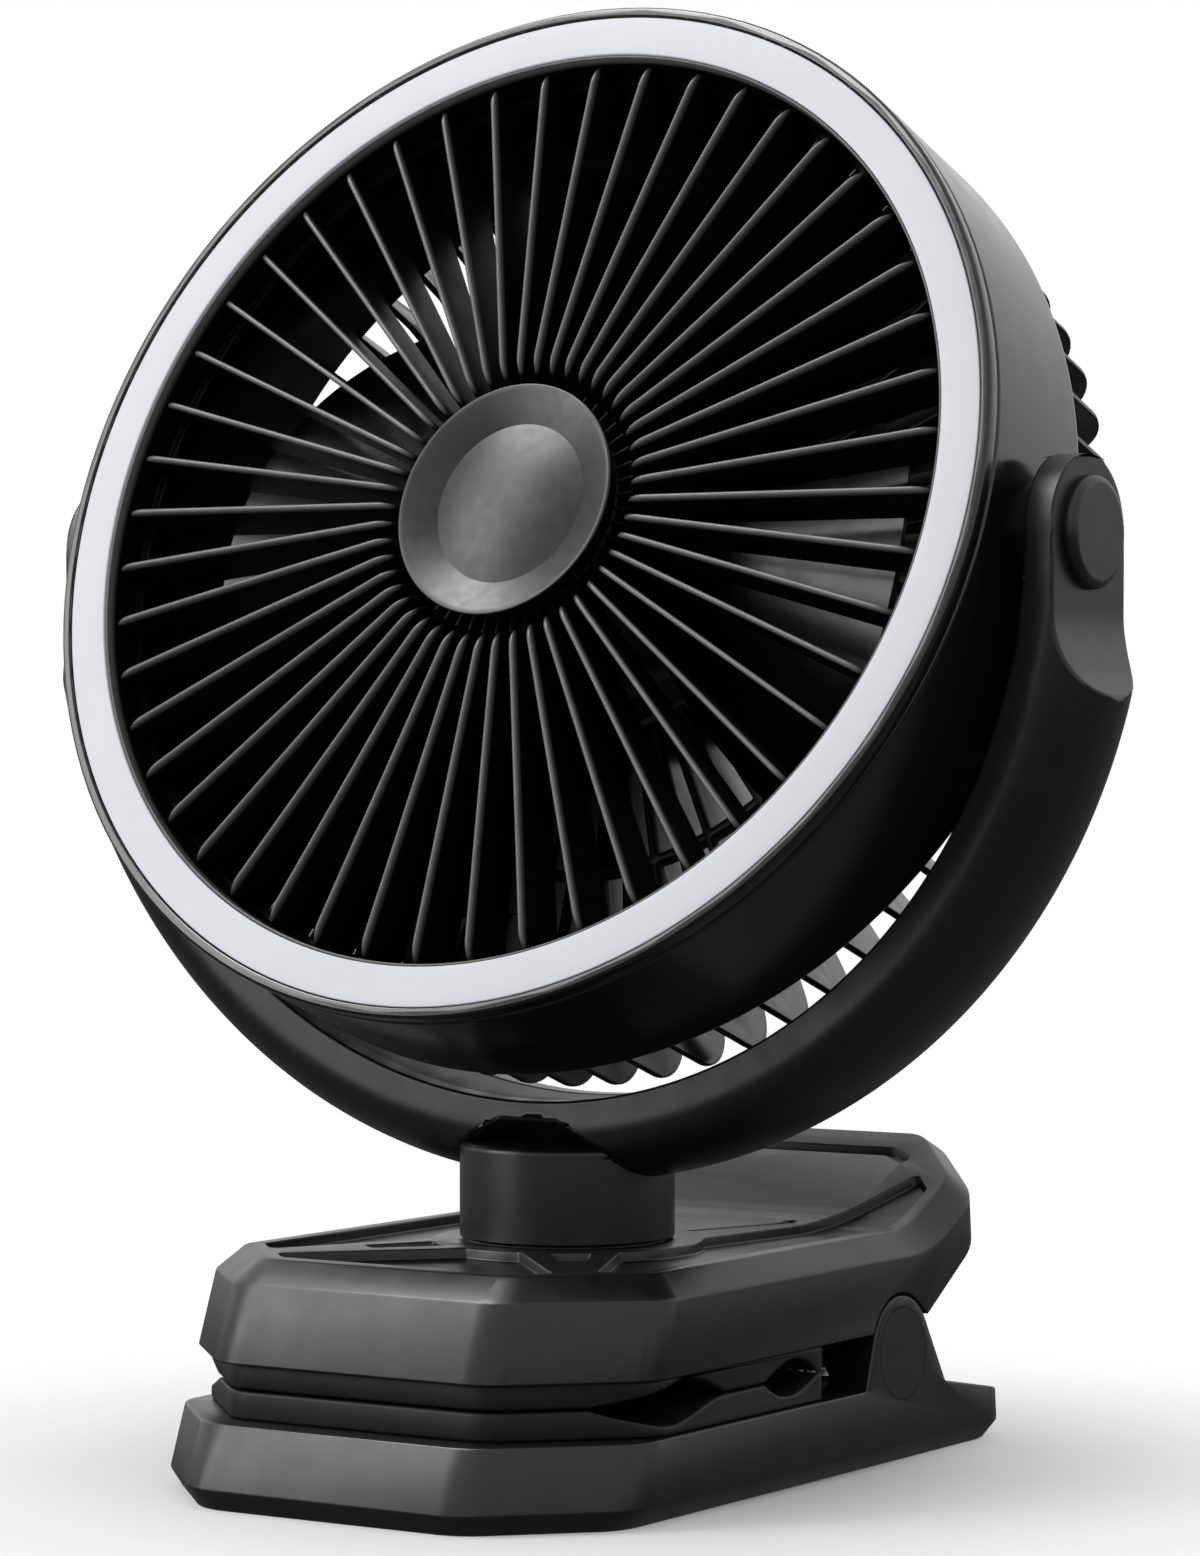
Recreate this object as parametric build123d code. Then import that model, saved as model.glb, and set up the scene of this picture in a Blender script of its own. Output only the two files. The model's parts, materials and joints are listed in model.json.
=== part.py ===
from build123d import *
import math
import os

os.makedirs("parts", exist_ok=True)

# Plan of the clip, measured outward from the neck axis: front, front corner, side, rear corner, rear
front_floor = 73.3
front_low = 75.0
front_draft = 20.0
corner_floor = 70.6
corner_low = 72.8
corner_draft = 15.0
side_floor = 46.3
side_low = 49.0
side_draft = 2.3
rear_corner_floor = 84.4
rear_corner_low = 86.8
tail_corner_low = 82.0
rear_floor = 80.0
rear_low = 82.5
rear_draft = 2.0
corner_round = 11.0

# Heights of the clip
foot_chamfer_height = 3.5
lower_top = 14.4
jaw_gap_top = 24.2
upper_top = 41.4
top_chamfer = 4.2
high_level = 70.0
tail_bend = 48.6
tail_slope = 27.0
tail_bend_round = 30.0
tail_under_slope = 31.0
lower_tail_start = 46.0
lower_tail_slope = 10.0

# Hinge between the jaws
hinge_y = 37.4
hinge_z = 19.9
ear_radius = 10.4
ear_inside = 40.0
ear_front_low = 24.0
ear_rear_low = 52.4
ear_gap = 0.5
jaw_open = 21.0
pin_radius = 2.0
pin_fit = 0.06
pin_half_length = 46.0
cap_radius = 8.4
cap_depth = 1.2
cap_edge_gap = 0.12
lug_radius = 6.6
lug_inside = 35.4
lug_outside = 39.5
hinge_clearance = 8.6
sleeve_radius = 3.86
sleeve_gap = 0.3

# Jaw springs
wire_radius = 0.8
coil_fit = 0.02
coil_turns = 5
coil_pitch = 2.3
spring_start = 20.0
spring_leg = 14.0
leg_room = 0.4
spring_samples = 24

# Rubber pads
pad_front = 65.0
pad_corner = 64.6
pad_side = 47.5
pad_rear = 10.0
pad_split = 19.55
pad_gap = 0.4
pad_round = 8.0
notch_large = [(-52.4, 0.0), (-47.0, 2.0), (-41.5, 3.2), (-35.0, 2.6), (-28.0, 0.8), (-23.0, 0.0)]
notch_large_over = [(-52.4, 0.0), (-46.0, 1.5), (-40.0, 3.1), (-34.5, 3.7), (-28.0, 2.3), (-23.0, 0.0)]
notch_small = [(-9.4, 0.0), (-6.0, 1.9), (-2.0, 2.8), (4.0, 1.9), (8.2, 0.0)]
notch_small_over = [(-9.4, 0.0), (-5.0, 1.9), (0.5, 3.1), (5.0, 2.1), (8.2, 0.0)]

# Inside of the lower jaw
base_recess = 5.0
base_plate_thick = 1.6
base_plate_lift = 0.8
plate_edge_gap = 0.2
foot_radius = 6.0
foot_inset_x = 33.0
foot_front = -48.0
foot_rear = 60.0
ballast_half_width = 36.0
ballast_half_length = 22.0
ballast_thick = 4.0
ballast_y = -22.0
base_boss_x = 30.0
base_boss_front = -56.0
base_boss_rear = 14.0
screw_radius = 1.5
screw_head_radius = 2.8
screw_head_thick = 1.6
screw_length = 7.0

# Inside of the upper jaw
cover_thick = 2.0
cavity_top = 36.2
cavity_front = 54.0
cavity_corner = 55.0
cavity_side = 43.6
cavity_rear = 24.0
cavity_round = 6.0
cell_length = 46.0
cell_width = 23.0
cell_thick = 8.2
cell_x = 30.5
cell_y = -8.0
board_width = 44.0
board_length = 8.0
board_thick = 1.4
board_end = -36.0
port_width = 9.0
port_height = 3.4
port_depth = 12.0
port_wall = 0.5
port_y = -36.5
tongue_thick = 0.8
cover_screw_front_x = 18.0
cover_screw_front = -46.0
cover_screw_rear_x = 38.5
cover_screw_rear = 19.0
cover_boss_radius = 3.4

# Top of the upper jaw
collar_radius = 24.6
recess_depth = 2.0
recess_border = 7.0
recess_tail_border = 8.8
recess_round = 1.4
arm_corners = [(4.0, -21.9), (33.0, -52.9), (37.4, -49.4), (18.8, -10.8)]
window_corners = [(10.9, -22.3), (19.8, -32.6), (23.6, -29.6), (17.0, -18.0)]
window_round = 0.9
deck_skin = 1.4
panel_neck = (20.3, 12.0)
panel_bend = (24.6, 46.5)
panel_end = (36.2, 64.6)
panel_bend_round = 20.0
groove_width = 2.4
groove_depth = 1.8
groove_y = 71.3
groove_straight = 26.5
groove_tip = (30.3, 69.4)
groove_bend_round = 3.0
slot_width = 1.8
slot_depth = 1.0
slot_start_x = 12.3
slot_start_y = 22.6
light_hole_radius = 1.4
light_hole_x = 20.1
light_hole_y = 44.2
light_pipe_depth = 3.0

# Neck and swivel
neck_radius = 19.4
neck_top = 59.0
neck_rim_round = 1.2
neck_seat_gap = 0.4
spigot_radius = 13.0
spigot_bottom = 31.0
bush_radius = 15.4
bush_fit = 0.05
bush_flange_radius = 18.0
bush_flange_thick = 1.2
wire_bore = 6.0
retainer_radius = 17.0
retainer_thick = 2.0
retainer_gap = 0.4

# Head, along its own axis from the pivot line, forward positive
head_tilt = 20.0
light_front = 22.2
drum_radius = 96.0
drum_wall = 2.4
drum_rear = -12.8
drum_front = 19.2
drum_edge_round = 1.5
flange_thick = 2.2
bezel_seam = 0.4
bezel_front = 22.5
bezel_width = 1.9
bezel_inside = drum_radius - bezel_width
bezel_spigot_wall = 1.0
bezel_spigot_inside = drum_radius - drum_wall - bezel_spigot_wall
bezel_spigot_depth = 3.4
bezel_edge = 0.4
lens_gap = 0.1
lens_outside = bezel_inside - lens_gap
lens_thick = 2.0
light_width = 7.4
ring_lip_radius = lens_outside - light_width
duct_inset = 4.0
duct_radius = ring_lip_radius - duct_inset
duct_wall = 2.0
duct_front = 8.6
tray_wall = 0.9
tray_floor = 15.0
tray_floor_thick = 0.9
board_ring_gap = 0.7
board_ring_inside = ring_lip_radius + tray_wall + board_ring_gap
board_ring_outside = bezel_spigot_inside - tray_wall - board_ring_gap
chip_count = 36
chip_size = 2.2
chip_thick = 0.8

# Front grille
rib_count = 48
rib_thick = 1.0
rib_front = 21.2
rib_rear = 9.4
rib_inside = 18.0
rib_end_inset = 0.5
rib_outside = ring_lip_radius - rib_end_inset
rib_bend_inside = 28.6
rib_dip_radius = 23.4
rib_dip = 16.6
rib_bend_length = 4.5
rib_bend_outside = rib_outside - rib_bend_length
rib_out_dip = 18.6
ring_lip_width = 0.6
ring_lip_front = 21.9
ring_wall_inset = 1.2
ring_wall = ring_lip_radius - ring_wall_inset
ring_throat_inset = 2.4
ring_throat = ring_lip_radius - ring_throat_inset
ring_step_z = 13.8
boss_radius = 20.0
boss_front = 16.0
boss_back = 9.4
hub_radius = 22.1
hub_front = 22.3
hub_disc_radius = 15.4
hub_disc_z = 20.3
hub_dome = 0.7
hub_edge = 0.8
hub_under = 18.4
hub_stem_radius = 14.0

# Rear grille and hub
fin_count = 62
fin_turn = 4.5
fin_thick = 1.2
fin_rear = -38.5
fin_front = -19.0
fin_inset = 3.2
fin_outside = drum_radius - fin_inset
fin_round = 10.0
rear_hub_radius = 28.0
fin_hub_gap = 0.6
fin_inside = rear_hub_radius + fin_hub_gap
rear_ring_width = 8.0
rear_ring_inside = fin_outside - rear_ring_width
rear_ring_front = drum_rear
fin_root_inset = 3.8
fin_root = rear_ring_inside - fin_root_inset
rear_ring_thick = 2.4
plate_rim = 2.0
plate_radius = rear_hub_radius + plate_rim
plate_thick = 2.0
mid_ring_radius = 57.0
mid_ring_width = 1.6
mid_ring_thick = 3.0
rear_hub_back = -41.5
rear_hub_wall = 2.2
rear_hub_round = 2.5
button_radius = 5.0
button_gap = 0.35
button_x = 9.0
button_proud = 1.2
button_travel = 1.2
button_flange_radius = 6.2
button_flange_thick = 1.0
button_flange_gap = 0.3
switch_size = 6.0
switch_thick = 1.3
switch_gap = 0.4
control_thick = 1.4

# Motor and rotor
motor_radius = 17.0
motor_front = -5.0
mount_radius = 25.0
mount_thick = 2.2
bearing_radius = 5.0
bearing_thick = 3.0
shaft_radius = 1.6
shaft_fit = 0.03
shaft_back = -15.0
shaft_front = 6.0
rotor_hub_radius = 23.0
rotor_back = -3.6
rotor_skirt = -11.0
rotor_front = 7.6
rotor_wall = 2.0
rotor_boss_radius = 5.0
blade_count = 4
blade_turn = 73.5
blade_root = 21.5
blade_mid = 50.0
blade_tip_gap = 10.6
blade_reach = duct_radius - blade_tip_gap
blade_trim = 3.6
blade_tip = blade_reach + blade_trim
blade_root_chord = 28.0
blade_mid_chord = 60.0
blade_tip_chord = 75.0
blade_thick = 1.8
blade_root_pitch = 28.0
blade_mid_pitch = 18.0
blade_tip_pitch = 17.0
blade_camber_share = 0.07
blade_centre = -5.0
screw_ring_radius = (fin_outside + rear_ring_inside) / 2
screw_ring_count = 6

# Yoke, which clears the head's sweep and stands on the neck
head_sweep_gap = 0.9
yoke_inside = math.hypot(drum_radius, bezel_front) + head_sweep_gap
yoke_thick = 15.0
yoke_outside = yoke_inside + yoke_thick
yoke_half_width = 13.3
neck_overlap = 7.1
pivot_z = neck_top - neck_overlap + yoke_outside
arm_wall = 5.7
arm_flat = yoke_inside + arm_wall
arm_flat_drop = 13.4
arm_flat_low = pivot_z - arm_flat_drop
arm_ramp_drop = 28.4
arm_ramp_low = pivot_z - arm_ramp_drop
arm_ramp_inset = 3.0
arm_ramp_out = yoke_outside - arm_ramp_inset
liner_half_width = 8.0
liner_depth = 2.2
liner_seat = 0.2
liner_side_gap = 0.1
liner_reach = 62.0
neck_recess_low = 16.0
neck_recess_high = 6.0
neck_recess_rise = 4.6
neck_recess_top = neck_top + neck_recess_rise
neck_recess_depth = 7.6
yoke_screw_x = 8.5
yoke_screw_bottom = 44.0
yoke_screw_cover = 6.9
yoke_screw_top = pivot_z - yoke_inside - yoke_screw_cover
pivot_radius = 4.0
pivot_fit = 0.06
pivot_depth = 5.6
pivot_start = drum_radius - drum_wall - pivot_depth
pivot_end_inset = 0.6
pivot_end = arm_flat - pivot_end_inset
pivot_boss_radius = 9.0
pivot_boss_gap = 1.4
pivot_boss_end = yoke_inside - pivot_boss_gap
washer_thick = 0.6
washer_radius = 8.0
cap_disc_radius = 9.7
cap_disc_thick = 2.2
cap_disc_round = 1.5

# The frame sits at the middle of the footprint
frame_shift = (front_low - rear_low) / 2
half_root = math.sqrt(0.5)
head_plane = Plane(
    origin=(0, 0, pivot_z),
    x_dir=(1, 0, 0),
    z_dir=(0, -math.cos(math.radians(head_tilt)), math.sin(math.radians(head_tilt))),
)
head_place = head_plane.location


def save(name, shape):
    # moves a finished piece into the shared frame and writes it
    solids = [solid.moved(Location((0, frame_shift, 0))) for solid in shape.solids()]
    whole = solids[0] if len(solids) == 1 else Compound(children=solids)
    export_step(whole, "parts/" + name + ".step")


def drop(distance, draft, rise):
    # how far out a drafted wall stands after a rise
    return distance - rise * math.tan(math.radians(draft))


def outline(front, corner, side, rear_corner, rear, z, radius):
    # eight-sided plan with rounded corners at one height
    root = math.sqrt(2)
    a = corner * root - front
    b = corner * root - side
    d = rear_corner * root - rear
    e = rear_corner * root - side
    right = [(a, -front), (side, -b), (side, e), (d, rear)]
    left = [(-x, y) for x, y in reversed(right)]
    face = make_face(Polyline(*right, *left, close=True))
    face = fillet(face.vertices(), radius)
    return face.moved(Location((0, 0, z)))


def drafted(z, tail):
    # plan of the clip's drafted walls at one height
    rise = z - foot_chamfer_height
    return outline(
        drop(front_low, front_draft, rise),
        drop(corner_low, corner_draft, rise),
        drop(side_low, side_draft, rise),
        drop(tail_corner_low if tail else rear_corner_low, side_draft, rise),
        drop(rear_low, rear_draft, rise) + (rear_low - drop(rear_low, rear_draft, lower_top) if tail else 0),
        z,
        corner_round,
    )


def rod(axis_start, axis_end, radius, y, z):
    # round bar along X between two stations
    length = axis_end - axis_start
    bar = Cylinder(radius, length, align=(Align.CENTER, Align.CENTER, Align.MIN))
    return Location((axis_start, y, z), (0, 90, 0)) * bar


def side_profile(points, half):
    # closed outline in the side view, drawn out across the width
    face = make_face(Polyline(*[(0, y, z) for y, z in points], close=True))
    return extrude(face, amount=half, dir=(1, 0, 0), both=True)


def ring(outer, inner, back, front):
    # plain annulus about the Z axis
    disc = Cylinder(outer, front - back, align=(Align.CENTER, Align.CENTER, Align.MIN))
    hole = Cylinder(inner, front - back, align=(Align.CENTER, Align.CENTER, Align.MIN))
    return Location((0, 0, back)) * (disc - hole)


def disc(radius, back, front):
    # plain disc about the Z axis
    body = Cylinder(radius, front - back, align=(Align.CENTER, Align.CENTER, Align.MIN))
    return Location((0, 0, back)) * body


def turned(points):
    # closed outline of radius and height, turned about the Z axis
    face = make_face(Polyline(*[(r, 0, z) for r, z in points], close=True))
    return revolve(face, Axis.Z)


def ear_shape(inside, outside):
    # one hinge ear in the side view, between two stations across the width
    top = rod(inside, outside, ear_radius, hinge_y, hinge_z)
    lean = math.atan2(lower_top - hinge_z, ear_rear_low - hinge_y)
    reach = math.hypot(ear_rear_low - hinge_y, lower_top - hinge_z)
    rear_turn = lean + math.acos(ear_radius / reach)
    rear_y = hinge_y + ear_radius * math.cos(rear_turn)
    rear_z = hinge_z + ear_radius * math.sin(rear_turn)
    lean = math.atan2(lower_top - hinge_z, ear_front_low - hinge_y)
    reach = math.hypot(ear_front_low - hinge_y, lower_top - hinge_z)
    front_turn = lean - math.acos(ear_radius / reach)
    front_y = hinge_y + ear_radius * math.cos(front_turn)
    front_z = hinge_z + ear_radius * math.sin(front_turn)
    low = lower_top - cover_thick
    slope = (rear_y - ear_rear_low) / (rear_z - lower_top)
    slope_front = (front_y - ear_front_low) / (front_z - lower_top)
    points = [
        (0, ear_front_low - slope_front * cover_thick, low),
        (0, front_y, front_z),
        (0, hinge_y, hinge_z),
        (0, rear_y, rear_z),
        (0, ear_rear_low - slope * cover_thick, low),
    ]
    web = extrude(make_face(Polyline(*points, close=True)), amount=outside - inside, dir=(1, 0, 0))
    return top + web.moved(Location((inside, 0, 0)))


def both_sides(shape):
    # a piece and its mirror image across the middle
    return shape + mirror(shape, about=Plane.YZ)


def lower_jaw():
    foot = outline(front_floor, corner_floor, side_floor, rear_corner_floor, rear_floor, 0, corner_round)
    low = drafted(foot_chamfer_height, False)
    top = drafted(lower_top, False)
    body = loft([foot, low], ruled=True) + loft([low, top], ruled=True)
    tail_cut = Location((0, lower_tail_start, lower_top), (-lower_tail_slope, 0, 0)) * Box(
        high_level * 2, high_level, high_level, align=(Align.CENTER, Align.MIN, Align.MIN)
    )
    body = body - tail_cut
    ear = ear_shape(ear_inside, side_low)
    walls = loft([low, drafted(high_level, False)], ruled=True)
    body = body + both_sides(ear & walls)
    trough = rod(-ear_inside, ear_inside, hinge_clearance, hinge_y, hinge_z)
    body = body - trough
    body = body - rod(-side_low, side_low, pin_radius, hinge_y, hinge_z)
    side_at_hinge = drop(side_low, side_draft, hinge_z - foot_chamfer_height)
    seat = rod(side_at_hinge - cap_depth, side_low, cap_radius, hinge_y, hinge_z)
    body = body - both_sides(seat)
    recess = outline(
        front_floor - base_recess,
        corner_floor - base_recess,
        side_floor - base_recess,
        rear_corner_floor - base_recess,
        rear_floor - base_recess,
        0,
        corner_round - base_recess,
    )
    body = body - extrude(recess, amount=base_plate_lift + base_plate_thick)
    hollow = Location((0, ballast_y, base_plate_lift + base_plate_thick)) * Box(
        ballast_half_width * 2,
        ballast_half_length * 2,
        ballast_thick,
        align=(Align.CENTER, Align.CENTER, Align.MIN),
    )
    body = body - hollow
    for x, y in base_screw_spots():
        body = body - Location((x, y, 0)) * disc(screw_radius, 0, base_plate_lift + screw_length)
    return body


def base_screw_spots():
    return [(x, y) for x in (-base_boss_x, base_boss_x) for y in (base_boss_front, base_boss_rear)]


def foot_spots():
    return [(x, y) for x in (-foot_inset_x, foot_inset_x) for y in (foot_front, foot_rear)]


def base_plate():
    inset = base_recess + plate_edge_gap
    plan = outline(
        front_floor - inset,
        corner_floor - inset,
        side_floor - inset,
        rear_corner_floor - inset,
        rear_floor - inset,
        base_plate_lift,
        corner_round - base_recess,
    )
    plate = extrude(plan, amount=base_plate_thick)
    for x, y in base_screw_spots():
        sink = disc(screw_head_radius, 0, base_plate_lift + screw_head_thick / 2)
        plate = plate - Location((x, y, 0)) * (sink + disc(screw_radius, 0, lower_top))
    return plate


def base_feet():
    feet = [Location((x, y, 0)) * disc(foot_radius, 0, base_plate_lift) for x, y in foot_spots()]
    return Compound(children=feet)


def base_screws():
    spots = []
    for x, y in base_screw_spots():
        lift = base_plate_lift + screw_head_thick / 2
        shape = disc(screw_head_radius, lift - screw_head_thick / 2, lift)
        shank = disc(screw_radius, lift, base_plate_lift + screw_length)
        spots.append(Location((x, y, 0)) * (shape + shank))
    return Compound(children=spots)


def ballast_plate():
    return Location((0, ballast_y, base_plate_lift + base_plate_thick)) * Box(
        ballast_half_width * 2,
        ballast_half_length * 2,
        ballast_thick,
        align=(Align.CENTER, Align.CENTER, Align.MIN),
    )


def hinge_pin():
    return rod(-pin_half_length, pin_half_length, pin_radius, hinge_y, hinge_z)


def hinge_caps():
    outer = drop(side_low, side_draft, hinge_z - foot_chamfer_height)
    inner = outer - cap_depth
    cap = rod(inner, side_low, cap_radius - cap_edge_gap, hinge_y, hinge_z)
    walls = loft([drafted(foot_chamfer_height, False), drafted(high_level, False)], ruled=True)
    cap = cap & walls
    cap = cap - rod(inner, pin_half_length, pin_radius, hinge_y, hinge_z) if inner < pin_half_length else cap
    return both_sides(cap)


def spring_sleeves():
    tube = rod(spring_start - sleeve_gap, lug_inside - sleeve_gap, sleeve_radius, hinge_y, hinge_z)
    tube = tube - rod(spring_start - sleeve_gap, lug_inside, pin_radius, hinge_y, hinge_z)
    return both_sides(tube)


def coil_point(turn, radius):
    # place and direction on the coil after a turn, both in the side view and across
    angle = turn * 2 * math.pi
    lead = coil_pitch / (2 * math.pi * radius)
    size = math.hypot(1, lead)
    place = Vector(
        spring_start + wire_radius + coil_pitch * turn,
        hinge_y - radius * math.sin(angle),
        hinge_z - radius * math.cos(angle),
    )
    way = Vector(lead, -math.cos(angle), math.sin(angle)) / size
    return place, way


def biarc(start, start_way, end, end_way):
    # two arcs that leave along one direction and arrive along another
    span = end - start
    both = start_way + end_way
    bend = 2 * (1 - start_way.dot(end_way))
    reach = (math.sqrt(span.dot(both) ** 2 + 2 * bend * span.dot(span)) - span.dot(both)) / bend
    near = start + start_way * reach
    far = end - end_way * reach
    middle = (near + far) / 2
    first = TangentArc(start, middle, tangent=start_way)
    return [first, TangentArc(middle, end, tangent=(far - near).normalized())]


def spring_turns():
    # stations along the coil in quarter turns, and the last part turn to the upper leg
    last = coil_turns + (180 - tail_under_slope) / 360
    return [quarter / 4 for quarter in range(coil_turns * 4 + 1)] + [coil_turns + 1 / 4, last]


def jaw_spring():
    radius = sleeve_radius + coil_fit + wire_radius
    turns = spring_turns()
    points = [coil_point(turn, radius) for turn in turns]
    edges = []
    for (start, start_way), (end, end_way) in zip(points, points[1:]):
        edges = edges + biarc(start, start_way, end, end_way)
    first, first_way = points[0]
    last, last_way = points[-1]
    lead_in = Line(first - first_way * spring_leg, first)
    lead_out = Line(last, last + last_way * spring_leg)
    path = Wire([lead_in.edge()] + [edge.edge() for edge in edges] + [lead_out.edge()])
    print("spring gap to itself", round(spring_gap(radius), 2))
    section = Plane(origin=path @ 0, z_dir=path % 0) * Circle(wire_radius)
    return sweep(section, path=path)


def spring_gap(radius):
    # least clear distance between points of the coil that are over half a turn apart
    steps = coil_turns * spring_samples
    points = [coil_point(step / spring_samples, radius)[0] for step in range(steps + 1)]
    pairs = [
        (points[i] - points[j]).length
        for i in range(steps + 1)
        for j in range(i + spring_samples // 2, steps + 1)
    ]
    return min(pairs) - wire_radius * 2


def jaw_springs():
    return both_sides(jaw_spring())


def pad(points_low, over, bottom, top, lift):
    # one rubber pad: plan outline, cut across by its two notches
    plan = outline(pad_front, pad_corner, pad_side, rear_corner_low, rear_low, bottom, pad_round)
    body = extrude(plan, amount=top - bottom)
    body = body - Location((0, pad_rear, 0)) * Box(
        high_level * 2, high_level * 2, high_level, align=(Align.CENTER, Align.MIN, Align.CENTER)
    )
    for notch in (points_low, over):
        edge = top if lift < 0 else bottom
        spline = Spline(*[(0, y, edge + lift * z) for y, z in notch])
        chord = Line((0, notch[-1][0], edge), (0, notch[0][0], edge))
        cut = extrude(make_face([spline.edge(), chord.edge()]), amount=side_low, dir=(1, 0, 0), both=True)
        body = body - cut
    return body


def lower_pad():
    return pad(notch_large, notch_small, lower_top, pad_split - pad_gap / 2, -1)


def upper_pad():
    return pad(notch_large_over, notch_small_over, pad_split + pad_gap / 2, jaw_gap_top, 1)


def upper_profile():
    # side outline of the upper jaw with its upswept tail
    slope = math.tan(math.radians(tail_slope))
    under = math.tan(math.radians(tail_under_slope))
    under_start = hinge_y + (jaw_gap_top - hinge_z) / under
    far = rear_low + front_low
    points = [
        (-far, jaw_gap_top),
        (under_start, jaw_gap_top),
        (far, jaw_gap_top + (far - under_start) * under),
        (far, upper_top + (far - tail_bend) * slope),
        (tail_bend, upper_top),
        (-far, upper_top),
    ]
    body = side_profile(points, high_level)
    bend = [
        e
        for e in body.edges()
        if abs(e.center().Y - tail_bend) < ear_gap and abs(e.center().Z - upper_top) < ear_gap
    ]
    return fillet(bend, tail_bend_round)


def upper_block():
    walls = loft([drafted(lower_top, True), drafted(high_level, True)], ruled=True)
    body = walls & upper_profile()
    tops = [f for f in body.faces() if f.normal_at().Z > half_root]
    rim = []
    for face in tops:
        for edge in face.edges():
            shared = [g for g in tops if g is not face and any(edge.is_same(h) for h in g.edges())]
            if not shared:
                rim.append(edge)
    return chamfer(rim, top_chamfer)


def cavity(bottom, top, shrink):
    plan = outline(
        cavity_front - shrink,
        cavity_corner - shrink,
        cavity_side - shrink,
        tail_corner_low,
        rear_low,
        bottom,
        cavity_round,
    )
    body = extrude(plan, amount=top - bottom)
    stop = Location((0, cavity_rear - shrink, 0)) * Box(
        high_level * 2, high_level * 2, high_level * 2, align=(Align.CENTER, Align.MIN, Align.CENTER)
    )
    return body - stop


def cover_spots():
    pairs = [(cover_screw_front_x, cover_screw_front), (cover_screw_rear_x, cover_screw_rear)]
    return [(side * x, y) for x, y in pairs for side in (-1, 1)]


def deck_panel():
    # plan of the raised panel from the collar back to the tail, flared at its end
    flank = [panel_neck, panel_bend, panel_end, (side_low, panel_end[1]), (side_low, rear_low)]
    face = make_face(Polyline(*flank, *[(-x, y) for x, y in reversed(flank)], close=True))
    bends = [v for v in face.vertices() if abs(abs(v.X) - panel_bend[0]) + abs(v.Y - panel_bend[1]) < ear_gap]
    return fillet(bends, panel_bend_round)


def deck_recess():
    # lowered part of the top: all within the rim but the collar, the two front arms and the panel
    rim = outline(
        drop(front_low, front_draft, upper_top) - recess_border,
        drop(corner_low, corner_draft, upper_top) - recess_border,
        drop(side_low, side_draft, upper_top) - recess_border,
        drop(tail_corner_low, side_draft, upper_top) - recess_tail_border,
        rear_low,
        0,
        recess_round,
    )
    arm = make_face(Polyline(*arm_corners, close=True))
    plan = rim - Circle(collar_radius) - arm - mirror(arm, about=Plane.YZ) - deck_panel()
    floor = upper_profile().moved(Location((0, 0, -recess_depth)))
    fields = []
    for face in plan.faces():
        eased = offset(offset(face, amount=-recess_round), amount=recess_round)
        fields.append(extrude(eased, amount=high_level) - floor)
    return fields


def arm_windows():
    # a deeper opening in each arm beside the collar
    plan = make_face(Polyline(*window_corners, close=True))
    plan = fillet(plan.vertices(), window_round)
    low = cavity_top + deck_skin
    return both_sides(extrude(plan.moved(Location((0, 0, low))), amount=high_level))


def panel_slots():
    # narrow line on the panel behind the neck, ending at the light hole
    path = Line((slot_start_x, slot_start_y), (light_hole_x, light_hole_y))
    plan = SlotCenterToCenter(path.length, slot_width)
    turn = math.degrees(math.atan2(light_hole_y - slot_start_y, light_hole_x - slot_start_x))
    middle = Location(tuple(path @ 0.5), (0, 0, turn))
    return both_sides(extrude(middle * plan, amount=high_level))


def rear_groove():
    # narrow channel along the tail's edge, bent forward at both ends
    flank = [(groove_straight, groove_y), groove_tip]
    points = [(-x, y) for x, y in reversed(flank)] + flank
    path = FilletPolyline(*points, radius=groove_bend_round)
    plan = offset(path, amount=groove_width / 2, side=Side.BOTH)
    return extrude(make_face(plan.edges()), amount=high_level)


def upper_jaw():
    body = upper_block()
    body = body - cavity(jaw_gap_top, cavity_top, 0)
    for field in deck_recess():
        body = body - field
    body = body - arm_windows()
    groove_floor = upper_profile().moved(Location((0, 0, -groove_depth)))
    body = body - (rear_groove() - groove_floor)
    slot_floor = upper_profile().moved(Location((0, 0, -slot_depth)))
    body = body - (panel_slots() - slot_floor)
    notch = rod(ear_inside - ear_gap, high_level, ear_radius + ear_gap, hinge_y, hinge_z)
    body = body - both_sides(notch) - both_sides(ear_relief())
    coil_room = rod(-lug_inside, lug_inside, hinge_clearance, hinge_y, hinge_z)
    body = body - coil_room
    lug = rod(lug_inside, lug_outside, lug_radius, hinge_y, hinge_z)
    web = Location((lug_inside, hinge_y, hinge_z)) * Box(
        lug_outside - lug_inside,
        lug_radius * 2,
        hinge_clearance,
        align=(Align.MIN, Align.CENTER, Align.MIN),
    )
    body = body + both_sides(lug + web)
    body = body - rod(-high_level, high_level, pin_radius + pin_fit, hinge_y, hinge_z)
    body = body - disc(bush_radius, spigot_bottom, high_level)
    body = body - disc(bush_flange_radius, upper_top - bush_flange_thick, high_level)
    body = body - port_block(side_low)
    legs = leg_channel()
    body = body - both_sides(legs)
    for x, y in cover_spots():
        post = Location((x, y, 0)) * disc(cover_boss_radius, jaw_gap_top + cover_thick, cavity_top)
        body = body + post
        body = body - Location((x, y, 0)) * disc(screw_radius, 0, jaw_gap_top + screw_length)
    body = body - light_hole()
    return body


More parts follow.
